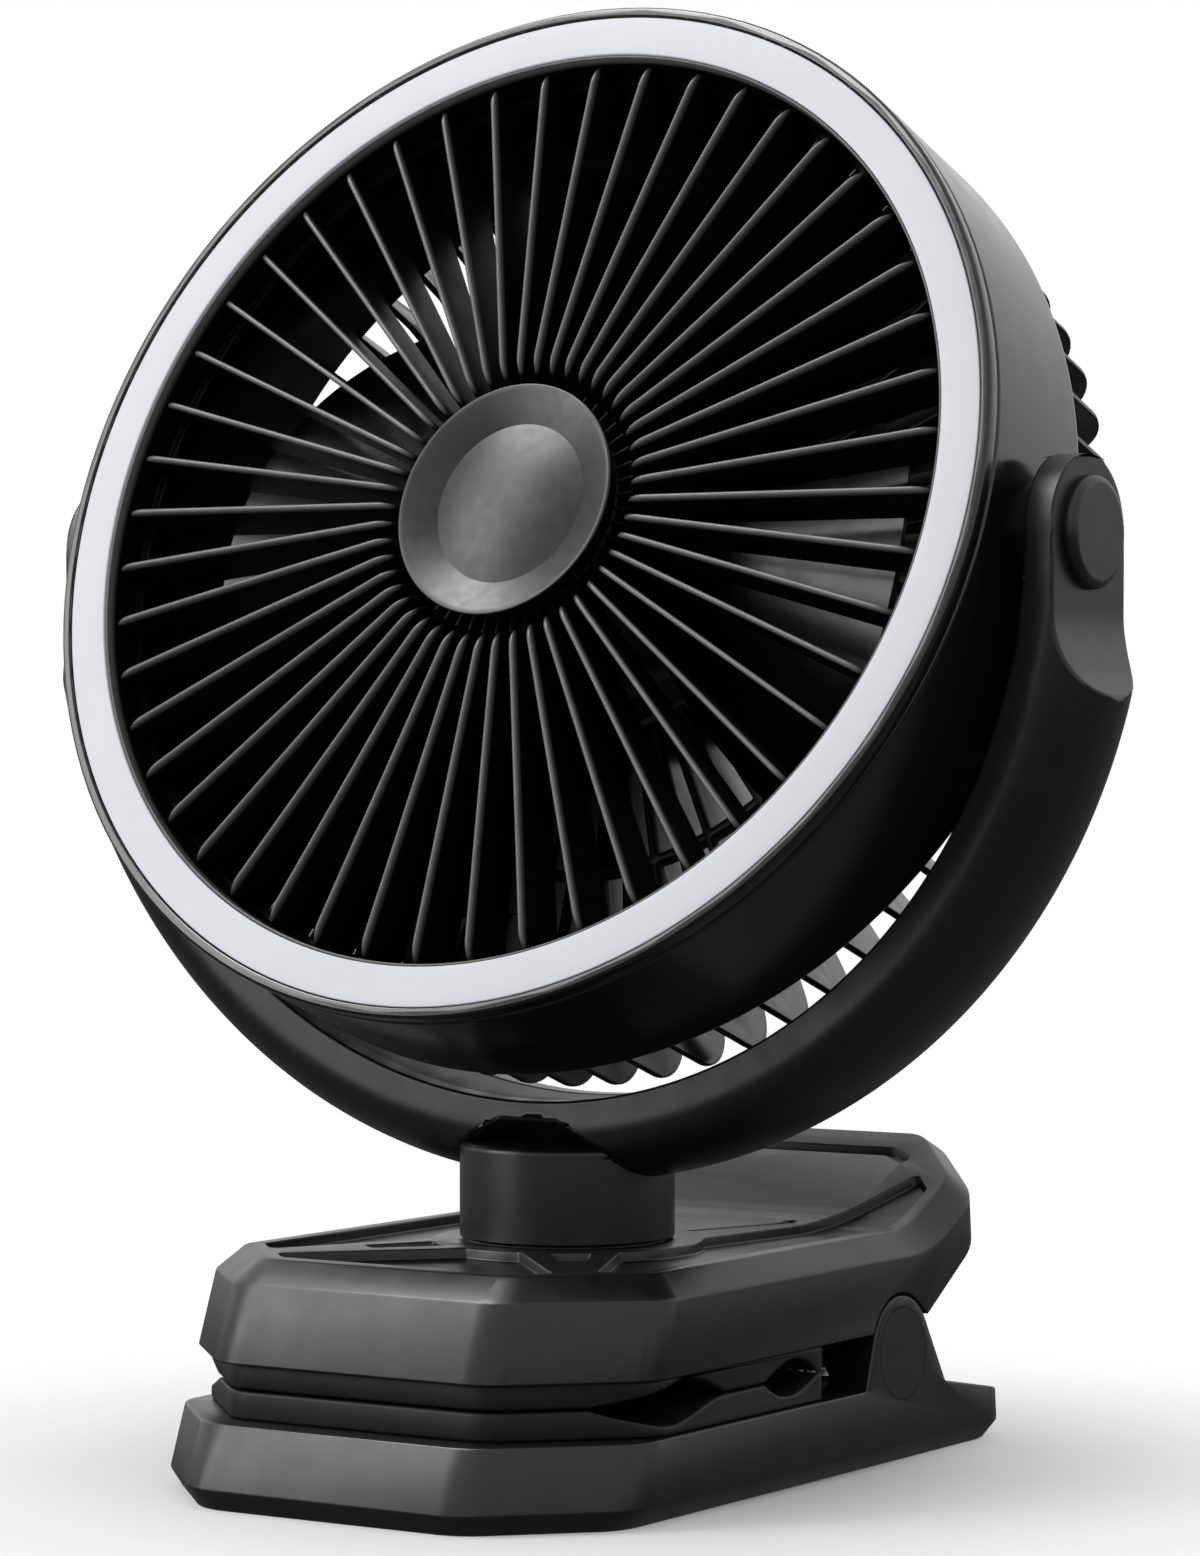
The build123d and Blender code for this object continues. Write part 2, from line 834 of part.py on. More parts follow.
def ear_relief():
    # where the ear's rear edge stands against the upper jaw at full opening, with a gap
    lean = math.atan2(lower_top - hinge_z, ear_rear_low - hinge_y)
    reach = math.hypot(ear_rear_low - hinge_y, lower_top - hinge_z)
    turn = lean + math.acos(ear_radius / reach) + math.radians(jaw_open)
    ear = ear_shape(ear_inside - ear_gap, high_level).rotate(
        Axis((0, hinge_y, hinge_z), (1, 0, 0)), jaw_open
    )
    return ear.moved(Location((0, ear_gap * math.cos(turn), ear_gap * math.sin(turn))))


def light_hole():
    return Location((light_hole_x, light_hole_y, upper_top - light_pipe_depth)) * disc(
        light_hole_radius, 0, high_level
    )


def jaw_cover():
    plate = cavity(jaw_gap_top, jaw_gap_top + cover_thick, plate_edge_gap)
    for x, y in cover_spots():
        plate = plate - Location((x, y, 0)) * disc(screw_radius, 0, high_level)
        plate = plate - Location((x, y, jaw_gap_top)) * disc(screw_head_radius, 0, screw_head_thick / 2)
    return plate


def cover_screws():
    screws = []
    for x, y in cover_spots():
        head = disc(screw_head_radius, 0, screw_head_thick / 2)
        shank = disc(screw_radius, screw_head_thick / 2, screw_length)
        screws.append(Location((x, y, jaw_gap_top)) * (head + shank))
    return Compound(children=screws)


def port_block(reach):
    # space that the charge inlet fills, from inside the wall to a station outside
    height = jaw_gap_top + cover_thick + board_thick
    inner = drop(side_low, side_draft, height) - port_depth
    length = reach - inner
    block = Box(length, port_width, port_height, align=(Align.MAX, Align.CENTER, Align.MIN))
    return Location((-inner, port_y, height)) * block


def charge_port():
    height = jaw_gap_top + cover_thick + board_thick
    face = drop(side_low, side_draft, height + port_height)
    shell = port_block(face)
    mouth = Box(
        port_depth - port_wall * 2,
        port_width - port_wall * 2,
        port_height - port_wall * 2,
        align=(Align.MIN, Align.CENTER, Align.MIN),
    )
    mouth = Location((-face, port_y, height + port_wall)) * mouth
    tongue = Box(
        port_depth - port_wall * 2,
        port_width - port_wall * 6,
        tongue_thick,
        align=(Align.MIN, Align.CENTER, Align.CENTER),
    )
    tongue = Location((-face + port_wall * 4, port_y, height + port_height / 2)) * tongue
    return (shell - mouth) + tongue


def charge_board():
    board = Box(board_width, board_length, board_thick, align=(Align.MIN, Align.CENTER, Align.MIN))
    return Location((board_end, port_y, jaw_gap_top + cover_thick)) * board


def battery_cells():
    cell = Box(cell_width, cell_length, cell_thick, align=(Align.CENTER, Align.CENTER, Align.MIN))
    return both_sides(Location((cell_x, cell_y, jaw_gap_top + cover_thick)) * cell)


def leg_channel():
    # room in the tail's underside for the spring's upper leg
    radius = sleeve_radius + coil_fit + wire_radius
    station = coil_point(spring_turns()[-1], radius)[0].X
    box = Box(
        (wire_radius + leg_room) * 2 + coil_pitch,
        spring_leg + leg_room * 2,
        radius + wire_radius + coil_fit,
        align=(Align.CENTER, Align.MIN, Align.MIN),
    )
    return Location((station, hinge_y, hinge_z), (tail_under_slope, 0, 0)) * box


def indicator_light():
    return light_hole() & upper_profile().moved(Location((0, 0, -slot_depth)))


def swivel_bush():
    tube = ring(bush_radius, spigot_radius + bush_fit, cavity_top, upper_top)
    flange = ring(bush_flange_radius, spigot_radius + bush_fit, upper_top - bush_flange_thick, upper_top)
    return tube + flange


def yoke_face():
    # half-round section of the yoke at the right arm
    inner_front = (yoke_inside, -yoke_half_width, pivot_z)
    inner_rear = (yoke_inside, yoke_half_width, pivot_z)
    curve = ThreePointArc(inner_front, (yoke_outside, 0, pivot_z), inner_rear)
    return make_face([curve.edge(), Line(inner_rear, inner_front).edge()])


def yoke_axis():
    return Axis((0, 0, pivot_z), (0, 1, 0))


def liner_ring(inner, outer, half_width):
    # strip inside the yoke, either side of its lowest point
    face = make_face(
        Polyline(
            (inner, -half_width, pivot_z),
            (outer, -half_width, pivot_z),
            (outer, half_width, pivot_z),
            (inner, half_width, pivot_z),
            close=True,
        )
    )
    face = face.rotate(yoke_axis(), 90 - liner_reach)
    return revolve(face, yoke_axis(), revolution_arc=liner_reach * 2)


def yoke_half():
    # right half of the yoke, from its lowest point up to the arm's rounded end
    section = yoke_face()
    body = revolve(section, yoke_axis(), revolution_arc=90)
    arm = extrude(section, amount=yoke_half_width, dir=(0, 0, 1))
    arm = arm & rod(yoke_inside, yoke_outside, yoke_half_width, 0, pivot_z)
    body = body + arm
    far = yoke_outside + yoke_half_width
    high = pivot_z + yoke_half_width * 2
    scoop = TangentArc((arm_flat, 0, arm_flat_low), (arm_ramp_out, 0, arm_ramp_low), tangent=(0, 0, -1))
    rest = Polyline(
        (arm_ramp_out, 0, arm_ramp_low),
        (far, 0, arm_ramp_low),
        (far, 0, high),
        (arm_flat, 0, high),
        (arm_flat, 0, arm_flat_low),
    )
    face = make_face([scoop.edge()] + list(rest.edges()))
    return body - extrude(face, amount=far, dir=(0, 1, 0), both=True)


def yoke():
    bore = disc(wire_bore, neck_top - neck_radius, pivot_z - yoke_inside + liner_depth)
    hole = disc(screw_radius, yoke_screw_bottom, yoke_screw_top)
    body = yoke_half() - bore - Location((yoke_screw_x, 0, 0)) * hole
    body = body - rod(yoke_inside - drum_wall, arm_flat, pivot_radius + pivot_fit, 0, pivot_z)
    depth = yoke_inside + liner_seat + liner_depth
    body = body - liner_ring(yoke_inside - drum_wall, depth, liner_half_width)
    wedge = [
        (-neck_recess_low, -neck_radius, neck_top),
        (neck_recess_low, -neck_radius, neck_top),
        (neck_recess_high, -neck_radius, neck_recess_top),
        (-neck_recess_high, -neck_radius, neck_recess_top),
    ]
    recess = extrude(
        make_face(Polyline(*wedge, close=True)), amount=neck_radius - neck_recess_depth, dir=(0, 1, 0)
    )
    return both_sides(body - recess)


def yoke_liner():
    inner = yoke_inside + liner_seat
    return liner_ring(inner, inner + liner_depth, liner_half_width - liner_side_gap)


def neck_post():
    low = upper_top + neck_seat_gap
    drum = disc(neck_radius, low, neck_top)
    drum = fillet(drum.edges().group_by(Axis.Z)[-1], neck_rim_round)
    body = drum + disc(spigot_radius, spigot_bottom, low)
    body = body - disc(wire_bore, spigot_bottom, neck_top)
    for x in (-yoke_screw_x, yoke_screw_x):
        well = disc(screw_head_radius, spigot_bottom, yoke_screw_bottom)
        hole = disc(screw_radius, yoke_screw_bottom, neck_top)
        body = body - Location((x, 0, 0)) * (well + hole)
    return body - both_sides(yoke_half())


def yoke_screws():
    screws = []
    for x in (-yoke_screw_x, yoke_screw_x):
        head = disc(screw_head_radius, yoke_screw_bottom - screw_head_thick, yoke_screw_bottom)
        shank = disc(screw_radius, yoke_screw_bottom, yoke_screw_top)
        screws.append(Location((x, 0, 0)) * (head + shank))
    return Compound(children=screws)


def swivel_retainer():
    front = cavity_top - retainer_gap
    return ring(retainer_radius, spigot_radius, front - retainer_thick, front)


def pivot_caps():
    cap = disc(cap_disc_radius, 0, cap_disc_thick)
    cap = fillet(cap.edges().group_by(Axis.Z)[-1], cap_disc_round)
    return both_sides(Location((arm_flat, 0, pivot_z), (0, 90, 0)) * cap)


def drum_housing():
    inner = drum_radius - drum_wall
    floor = drum_rear + flange_thick
    duct_outer = duct_radius + duct_wall
    shell = turned(
        [
            (duct_radius, drum_rear),
            (drum_radius - drum_edge_round, drum_rear),
            (drum_radius, drum_rear + drum_edge_round),
            (drum_radius, drum_front),
            (inner, drum_front),
            (inner, floor),
            (duct_outer, floor),
            (duct_outer, duct_front),
            (duct_radius, duct_front),
        ]
    )
    boss = rod(inner - drum_wall, pivot_boss_end, pivot_boss_radius, 0, 0)
    shell = shell + both_sides(boss)
    shell = shell - both_sides(rod(duct_outer, pivot_boss_end, pivot_radius, 0, 0))
    for spot in grille_screw_spots():
        shell = shell - spot * disc(screw_radius, drum_rear, floor)
    return head_place * shell


def bezel_ring():
    seam = drum_front + bezel_seam
    shelf = light_front - lens_thick
    spigot = drum_radius - drum_wall
    return head_place * turned(
        [
            (bezel_spigot_inside, seam - bezel_spigot_depth),
            (spigot, seam - bezel_spigot_depth),
            (spigot, seam),
            (drum_radius, seam),
            (drum_radius, bezel_front - bezel_edge),
            (drum_radius - bezel_edge, bezel_front),
            (bezel_inside + bezel_edge / 2, bezel_front),
            (bezel_inside, light_front),
            (bezel_inside, shelf),
            (bezel_spigot_inside, shelf),
        ]
    )


def light_diffuser():
    return head_place * ring(lens_outside, ring_lip_radius, light_front - lens_thick, light_front)


def light_tray():
    back = light_front - lens_thick
    low = tray_floor + tray_floor_thick
    return head_place * turned(
        [
            (ring_lip_radius, tray_floor),
            (bezel_spigot_inside, tray_floor),
            (bezel_spigot_inside, back),
            (bezel_spigot_inside - tray_wall, back),
            (bezel_spigot_inside - tray_wall, low),
            (ring_lip_radius + tray_wall, low),
            (ring_lip_radius + tray_wall, back),
            (ring_lip_radius, back),
        ]
    )


def light_board():
    low = tray_floor + tray_floor_thick
    return head_place * ring(board_ring_outside, board_ring_inside, low, low + board_thick)


def light_chips():
    low = tray_floor + tray_floor_thick + board_thick
    middle = (board_ring_outside + board_ring_inside) / 2
    chips = []
    for index in range(chip_count):
        chip = Box(chip_size, chip_size, chip_thick, align=(Align.CENTER, Align.CENTER, Align.MIN))
        turn = Location((0, 0, 0), (0, 0, index * 360 / chip_count))
        chips.append(head_place * turn * Location((middle, 0, low)) * chip)
    return Compound(children=chips)


def spun(shape, count, start=0):
    # copies of a shape spread evenly about the Z axis, from a first angle
    return [Location((0, 0, 0), (0, 0, start + index * 360 / count)) * shape for index in range(count)]


def grille_rib():
    top_out = (rib_bend_outside, 0, rib_front)
    top_in = (rib_bend_inside, 0, rib_front)
    end_out = (rib_outside, 0, rib_out_dip)
    end_in = (rib_dip_radius, 0, rib_dip)
    outer_bend = TangentArc(top_out, end_out, tangent=(1, 0, 0))
    inner_bend = TangentArc(top_in, end_in, tangent=(-1, 0, 0))
    rest = Polyline(
        end_out,
        (rib_outside, 0, rib_rear),
        (rib_inside, 0, rib_rear),
        (rib_inside, 0, boss_front),
        (rib_dip_radius, 0, boss_front),
        end_in,
    )
    face = make_face(
        [outer_bend.edge(), inner_bend.edge(), Line(top_out, top_in).edge()] + list(rest.edges())
    )
    return extrude(face, amount=rib_thick / 2, dir=(0, 1, 0), both=True)


def front_grille():
    rim = turned(
        [
            (ring_throat, duct_front),
            (ring_lip_radius, duct_front),
            (ring_lip_radius, ring_lip_front),
            (ring_lip_radius - ring_lip_width, ring_lip_front),
            (ring_wall, ring_step_z),
            (ring_throat, ring_step_z),
        ]
    )
    centre = disc(boss_radius, boss_back, boss_front)
    body = rim.fuse(centre, *spun(grille_rib(), rib_count))
    return head_place * body


def hub_cap():
    rim_low = hub_front - hub_edge
    disc_edge = (hub_disc_radius, 0, hub_disc_z)
    crown = (0, 0, hub_disc_z + hub_dome)
    sphere = (hub_disc_radius**2 + hub_dome**2) / (2 * hub_dome)
    half_turn = math.asin(hub_disc_radius / sphere) / 2
    drop_half = sphere * (1 - math.cos(half_turn))
    halfway = (sphere * math.sin(half_turn), 0, hub_disc_z + hub_dome - drop_half)
    dome = ThreePointArc(disc_edge, halfway, crown)
    rest = Polyline(
        crown,
        (0, 0, boss_front),
        (hub_stem_radius, 0, boss_front),
        (hub_stem_radius, 0, hub_under),
        (hub_radius, 0, rim_low),
        (hub_radius, 0, hub_front),
        disc_edge,
    )
    return head_place * revolve(make_face([dome.edge()] + list(rest.edges())), Axis.Z)


def grille_screw_spots():
    # screw places on the rear ring, each midway between two fins
    spots = []
    for index in range(screw_ring_count):
        slot = index * fin_count // screw_ring_count
        turn = fin_turn + (slot + 1 / 2) * 360 / fin_count
        spots.append(Location((0, 0, 0), (0, 0, turn)) * Location((screw_ring_radius, 0, 0)))
    return spots


def grille_screws():
    low = rear_ring_front - rear_ring_thick
    shapes = []
    for spot in grille_screw_spots():
        head = disc(screw_head_radius, low - screw_head_thick, low)
        shank = disc(screw_radius, low, drum_rear + flange_thick)
        shapes.append(head_place * spot * (head + shank))
    return Compound(children=shapes)


def rear_fin():
    ring_low = rear_ring_front - rear_ring_thick / 2
    corner_start = (fin_outside - fin_round, 0, fin_rear)
    corner_end = (fin_outside, 0, fin_rear + fin_round)
    bend = TangentArc(corner_start, corner_end, tangent=(1, 0, 0))
    rest = Polyline(
        corner_end,
        (fin_outside, 0, ring_low),
        (rear_ring_inside, 0, ring_low),
        (fin_root, 0, fin_front),
        (fin_inside, 0, fin_front),
        (fin_inside, 0, fin_rear),
        corner_start,
    )
    face = make_face([bend.edge()] + list(rest.edges()))
    return extrude(face, amount=fin_thick / 2, dir=(0, 1, 0), both=True)


def rear_grille():
    rim = ring(fin_outside, rear_ring_inside, rear_ring_front - rear_ring_thick, rear_ring_front)
    plate = disc(plate_radius, fin_front - plate_thick, fin_front)
    band = ring(mid_ring_radius, mid_ring_radius - mid_ring_width, fin_front - mid_ring_thick, fin_front)
    body = rim.fuse(plate, band, *spun(rear_fin(), fin_count, fin_turn))
    for spot in grille_screw_spots():
        body = body - spot * disc(screw_radius, fin_rear, rear_ring_front)
    return head_place * body


def rear_hub():
    front = fin_front - plate_thick
    body = disc(rear_hub_radius, rear_hub_back, front)
    body = fillet(body.edges().group_by(Axis.Z)[0], rear_hub_round)
    body = body - disc(rear_hub_radius - rear_hub_wall, rear_hub_back + rear_hub_wall, front)
    for x in (-button_x, button_x):
        body = body - Location((x, 0, 0)) * disc(button_radius + button_gap, rear_hub_back, front)
    return head_place * body


def push_button(x):
    inside = rear_hub_back + rear_hub_wall + button_flange_gap
    stem = disc(button_radius, rear_hub_back - button_proud, inside)
    flange = disc(button_flange_radius, inside, inside + button_flange_thick)
    return head_place * Location((x, 0, 0)) * (stem + flange)


def power_button():
    return push_button(-button_x)


def light_button():
    return push_button(button_x)


def switch_back():
    # where the switches stand behind a fully pressed button
    flange = rear_hub_back + rear_hub_wall + button_flange_gap + button_flange_thick
    return flange + button_travel + switch_gap


def control_board():
    back = switch_back() + switch_thick
    return head_place * disc(rear_hub_radius - rear_hub_wall, back, back + control_thick)


def button_switches():
    block = Box(switch_size, switch_size, switch_thick, align=(Align.CENTER, Align.CENTER, Align.MIN))
    switches = [head_place * Location((x, 0, switch_back())) * block for x in (-button_x, button_x)]
    return Compound(children=switches)


def motor_mount():
    return head_place * disc(mount_radius, fin_front, fin_front + mount_thick)


def motor_can():
    can = disc(motor_radius, fin_front + mount_thick, motor_front)
    return head_place * (can - disc(bearing_radius, shaft_back, motor_front))


def motor_bearings():
    inner = shaft_radius + shaft_fit
    rear = ring(bearing_radius, inner, shaft_back, shaft_back + bearing_thick)
    front = ring(bearing_radius, inner, motor_front - bearing_thick, motor_front)
    return Compound(children=[head_place * rear, head_place * front])


def motor_shaft():
    return head_place * disc(shaft_radius, shaft_back + shaft_fit, shaft_front)


def blade_section(radius, chord, pitch):
    # thin curved section across a blade at one radius
    rise = chord * blade_camber_share
    lead = (radius, -chord / 2, 0)
    trail = (radius, chord / 2, 0)
    upper = ThreePointArc(lead, (radius, 0, rise + blade_thick / 2), trail)
    lower = ThreePointArc(trail, (radius, 0, rise - blade_thick / 2), lead)
    face = make_face([upper.edge(), lower.edge()])
    return Location((0, 0, blade_centre)) * face.rotate(Axis.X, pitch)


def fan_rotor():
    blade = loft(
        [
            blade_section(blade_root, blade_root_chord, blade_root_pitch),
            blade_section(blade_mid, blade_mid_chord, blade_mid_pitch),
            blade_section(blade_tip, blade_tip_chord, blade_tip_pitch),
        ]
    )
    blade = blade & disc(blade_reach, -drum_radius, drum_radius)
    cup = disc(rotor_hub_radius, rotor_skirt, rotor_front)
    core = disc(rotor_hub_radius - rotor_wall, -drum_radius, drum_radius)
    blades = [part - core for part in spun(blade, blade_count, blade_turn)]
    inner = rotor_hub_radius - rotor_wall
    hollow = ring(inner, rotor_boss_radius, rotor_back, rotor_front - rotor_wall)
    mouth = disc(inner, rotor_skirt, rotor_back)
    body = (cup - hollow - mouth).fuse(*blades)
    body = body - disc(shaft_radius, rotor_back, shaft_front)
    return head_place * body


def pivot_pins():
    return head_place * both_sides(rod(pivot_start, pivot_end, pivot_radius, 0, 0))


def pivot_washers():
    end = pivot_boss_end + washer_thick
    washer = rod(pivot_boss_end, end, washer_radius, 0, 0) - rod(pivot_boss_end, end, pivot_radius, 0, 0)
    return head_place * both_sides(washer)


makers = [
    lower_jaw,
    base_plate,
    base_feet,
    base_screws,
    ballast_plate,
    hinge_pin,
    hinge_caps,
    spring_sleeves,
    jaw_springs,
    lower_pad,
    upper_pad,
    upper_jaw,
    jaw_cover,
    cover_screws,
    battery_cells,
    charge_board,
    charge_port,
    indicator_light,
    swivel_bush,
    neck_post,
    swivel_retainer,
    yoke,
    yoke_liner,
    yoke_screws,
    pivot_caps,
    pivot_pins,
    pivot_washers,
    drum_housing,
    bezel_ring,
    light_diffuser,
    light_tray,
    light_board,
    light_chips,
    front_grille,
    hub_cap,
    rear_grille,
    rear_hub,
    grille_screws,
    control_board,
    button_switches,
    power_button,
    light_button,
    motor_mount,
    motor_can,
    motor_bearings,
    motor_shaft,
    fan_rotor,
]
for maker in makers:
    save(maker.__name__, maker())
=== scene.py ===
import json
import math

import bmesh
import bpy
from mathutils import Matrix, Vector


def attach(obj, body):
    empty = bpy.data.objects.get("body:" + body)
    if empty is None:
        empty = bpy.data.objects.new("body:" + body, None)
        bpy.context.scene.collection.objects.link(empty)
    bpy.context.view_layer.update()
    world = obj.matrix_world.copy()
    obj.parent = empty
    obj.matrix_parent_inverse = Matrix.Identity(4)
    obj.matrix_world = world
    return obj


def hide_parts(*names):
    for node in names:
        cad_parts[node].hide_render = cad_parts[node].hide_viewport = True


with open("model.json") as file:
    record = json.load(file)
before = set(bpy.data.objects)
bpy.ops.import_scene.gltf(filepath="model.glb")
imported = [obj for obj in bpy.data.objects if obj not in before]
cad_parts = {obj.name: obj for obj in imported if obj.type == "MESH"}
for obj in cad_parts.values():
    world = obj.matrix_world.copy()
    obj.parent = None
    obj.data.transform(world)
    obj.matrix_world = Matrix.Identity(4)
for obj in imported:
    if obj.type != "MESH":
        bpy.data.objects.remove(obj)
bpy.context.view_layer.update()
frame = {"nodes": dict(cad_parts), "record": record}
nodes = frame["nodes"]
scene = bpy.context.scene
MM = 0.001

# Head frame: local X is the fan's own X, local Z points out of the light ring
HEAD_TILT = math.radians(20.0)
PIVOT = Vector((0.0, -3.75, 166.4)) * MM
HEAD = Matrix(
    (
        (1.0, 0.0, 0.0, PIVOT.x),
        (0.0, math.sin(HEAD_TILT), -math.cos(HEAD_TILT), PIVOT.y),
        (0.0, math.cos(HEAD_TILT), math.sin(HEAD_TILT), PIVOT.z),
        (0.0, 0.0, 0.0, 1.0),
    )
)

# Sizes in millimetres, and heights of head pieces along the head's axis from its pivot
RIB_COUNT = 48
RIB_THICK = 1.0
RIB_BACK = 9.4
RIB_TOP = 21.2
RIB_START = 18.0
RIB_FOOT = 23.3
RIB_INNER_CENTRE = 28.6
RIB_INNER_BEND = 5.24
RIB_STRAIGHT_START = 34.0
RIB_STRAIGHT_STEP = 7.9
RIB_OUTER_CENTRE = 81.6
RIB_OUTER_BEND = 5.2
# heights along the head's axis where the ribs' painted shade ends and their painted highlight begins
RIB_PAINTED_SHADE_BELOW = 19.6
RIB_PAINTED_HIGHLIGHT_ABOVE = 20.9
GRILLE_HUB_RADIUS = 20.0
GRILLE_HUB_FRONT = 16.0
GRILLE_HUB_EDGE = 0.4
RIM_INSIDE = 84.2
RIM_OUTSIDE = 86.55
RIM_BACK = 8.6
RIM_FRONT = 21.6
RIM_ROUND = 0.25
RIM_LEDGE = [(85.75, 18.6), (85.45, 14.1), (85.2, 13.8), (84.5, 13.75), (84.2, 13.45)]
HUB_STEM_RADIUS = 14.0
HUB_STEM_BACK = 16.0
HUB_UNDER = 18.4
HUB_RIM_UNDER = (21.6, 21.2)
HUB_RIM_CENTRE = (21.7, 21.75)
HUB_RIM_ROUND = 0.4
HUB_DISH_EDGE = (20.9, 22.0)
HUB_DISC_RADIUS = 15.1
HUB_DISC_LEVEL = 19.75
HUB_DOME = 1.9
LENS_INSIDE = 86.65
LENS_OUTSIDE = 93.95
LENS_BACK = 20.2
LENS_EDGE = 21.95
LENS_ROUND = 0.25
LENS_CROWN = [(92.0, 22.22), (90.3, 22.24), (88.6, 22.22)]
DRUM_RADIUS = 96.0
DRUM_WALL = 2.4
DRUM_REAR = -12.8
DRUM_FRONT = 19.2
DRUM_REAR_ROUND = 1.5
DRUM_FRONT_ROUND = 0.6
DRUM_FLAT_INSET = 0.3
FLANGE_THICK = 2.2
DUCT_INSIDE = 82.6
DUCT_WALL = 2.0
DUCT_FRONT = 8.6
BOSS_BORE = 4.0
BOSS_RADIUS = 9.0
BOSS_END = 98.1

# Neck sizes in millimetres, heights from the floor
SPIGOT_RADIUS = 12.9
SPIGOT_LOW = 36.0
NECK_RADIUS = 19.4
NECK_LOW = 41.8
NECK_TOP = 59.0
NECK_ROUND = 1.2
NECK_EDGE = 0.3

# Yoke sizes in millimetres, heights from the pivot, and stations in degrees up from its lowest point
YOKE_INSIDE = 99.5
YOKE_OUTSIDE = 114.5
YOKE_HALF = 13.3
BAND_END = 104.8
BAND_LEAN = 0.4
CHANNEL_HALF = 8.0
CHANNEL_HALF_SHARE = 0.6
CHANNEL_DEPTH = 2.4
CHANNEL_STOP = 62
CHANNEL_STEP = 0.01
ARM_START = 73
ARM_FLAT = 105.2
ARM_FLAT_LOW = -13.4
ARM_RAMP_LOW = -28.4
SCOOP_ROUND = 21.0
SCOOP_FROM = 0.5
UNCUT = 200.0
ARM_TIP = 88.5

# Corners of the recess in the yoke's front over the neck, right half, in millimetres from the floor
NOTCH_FRONT = -24.0
NOTCH_MID = -17.0
NOTCH_TOP = 63.6
NOTCH_SHOULDER = 58.0
NOTCH_LOW = 57.0
NOTCH_NARROW = 6.0
NOTCH_WIDE = 18.2
NOTCH_CORNERS = [
    (NOTCH_NARROW, NOTCH_FRONT, NOTCH_TOP),
    (NOTCH_NARROW, NOTCH_MID, NOTCH_TOP),
    (NOTCH_WIDE, NOTCH_FRONT, NOTCH_SHOULDER),
    (NOTCH_WIDE, NOTCH_MID, NOTCH_SHOULDER),
    (9.0, -8.5, NOTCH_LOW),
    (NOTCH_WIDE, NOTCH_FRONT, NOTCH_LOW),
    (NOTCH_WIDE, NOTCH_MID, NOTCH_LOW),
]

# Seat of a hinge cap: least distance from the middle, its centre and its reach, in millimetres
CAP_SEAT_X = 40.0
CAP_SEAT_Y = 33.65
CAP_SEAT_Z = 19.9
CAP_SEAT_REACH = 9.0

# Mesh clean-up: merging distances in millimetres, angles in degrees
MERGE = 0.001
MERGE_CAD = 0.002
MERGE_YOKE = 0.01
SLIVER = 0.005
FLAT_ANGLE = 0.6
EDGE_ANGLE = 30.0

# Materials: share of a noise that is spread over a range, and fine grain in metres
NOISE_LOW_SHARE = 0.3
NOISE_HIGH_SHARE = 0.7
GRAIN_DEPTH = 0.00002
RUBBER_GRAIN_DEPTH = 0.00004
MOULD_GRAIN = 2600.0
MOULD_GRAIN_STRENGTH = 0.12


# Materials

def blank(name):
    material = bpy.data.materials.new(name)
    material.use_nodes = True
    tree = material.node_tree
    tree.nodes.clear()
    output = tree.nodes.new("ShaderNodeOutputMaterial")
    shader = tree.nodes.new("ShaderNodeBsdfPrincipled")
    tree.links.new(shader.outputs["BSDF"], output.inputs["Surface"])
    return material, tree, shader


def noise(tree, scale, detail=3.0):
    coords = tree.nodes.new("ShaderNodeTexCoord")
    node = tree.nodes.new("ShaderNodeTexNoise")
    node.inputs["Scale"].default_value = scale
    node.inputs["Detail"].default_value = detail
    tree.links.new(coords.outputs["Object"], node.inputs["Vector"])
    return node.outputs["Fac"]


def spread(tree, value, low, high):
    node = tree.nodes.new("ShaderNodeMapRange")
    node.inputs["From Min"].default_value = NOISE_LOW_SHARE
    node.inputs["From Max"].default_value = NOISE_HIGH_SHARE
    node.inputs["To Min"].default_value = low
    node.inputs["To Max"].default_value = high
    tree.links.new(value, node.inputs["Value"])
    return node.outputs["Result"]


def tint(tree, value, dark, light):
    node = tree.nodes.new("ShaderNodeValToRGB")
    node.color_ramp.elements[0].position = NOISE_LOW_SHARE
    node.color_ramp.elements[1].position = NOISE_HIGH_SHARE
    node.color_ramp.elements[0].color = (*dark, 1.0)
    node.color_ramp.elements[1].color = (*light, 1.0)
    tree.links.new(value, node.inputs["Fac"])
    return node.outputs["Color"]


def grain(tree, shader, scale, strength, distance):
    bump = tree.nodes.new("ShaderNodeBump")
    bump.inputs["Strength"].default_value = strength
    bump.inputs["Distance"].default_value = distance
    tree.links.new(noise(tree, scale, 2.0), bump.inputs["Height"])
    tree.links.new(bump.outputs["Normal"], shader.inputs["Normal"])


def metal(name, dark, light, rough, texture=900.0):
    material, tree, shader = blank(name)
    shader.inputs["Metallic"].default_value = 1.0
    tree.links.new(tint(tree, noise(tree, 120.0), dark, light), shader.inputs["Base Color"])
    sheen = spread(tree, noise(tree, 420.0), rough - 0.04, rough + 0.05)
    tree.links.new(sheen, shader.inputs["Roughness"])
    grain(tree, shader, texture, 0.06, GRAIN_DEPTH)
    return material


def moulded(name, dark, light, rough, specular, texture=MOULD_GRAIN, depth=GRAIN_DEPTH):
    # satin moulded plastic with a fine spark texture and slight mottling
    material, tree, shader = blank(name)
    shader.inputs["Specular IOR Level"].default_value = specular
    tree.links.new(tint(tree, noise(tree, 38.0), dark, light), shader.inputs["Base Color"])
    sheen = spread(tree, noise(tree, 160.0), rough - 0.03, rough + 0.04)
    tree.links.new(sheen, shader.inputs["Roughness"])
    grain(tree, shader, texture, MOULD_GRAIN_STRENGTH, depth)
    return material


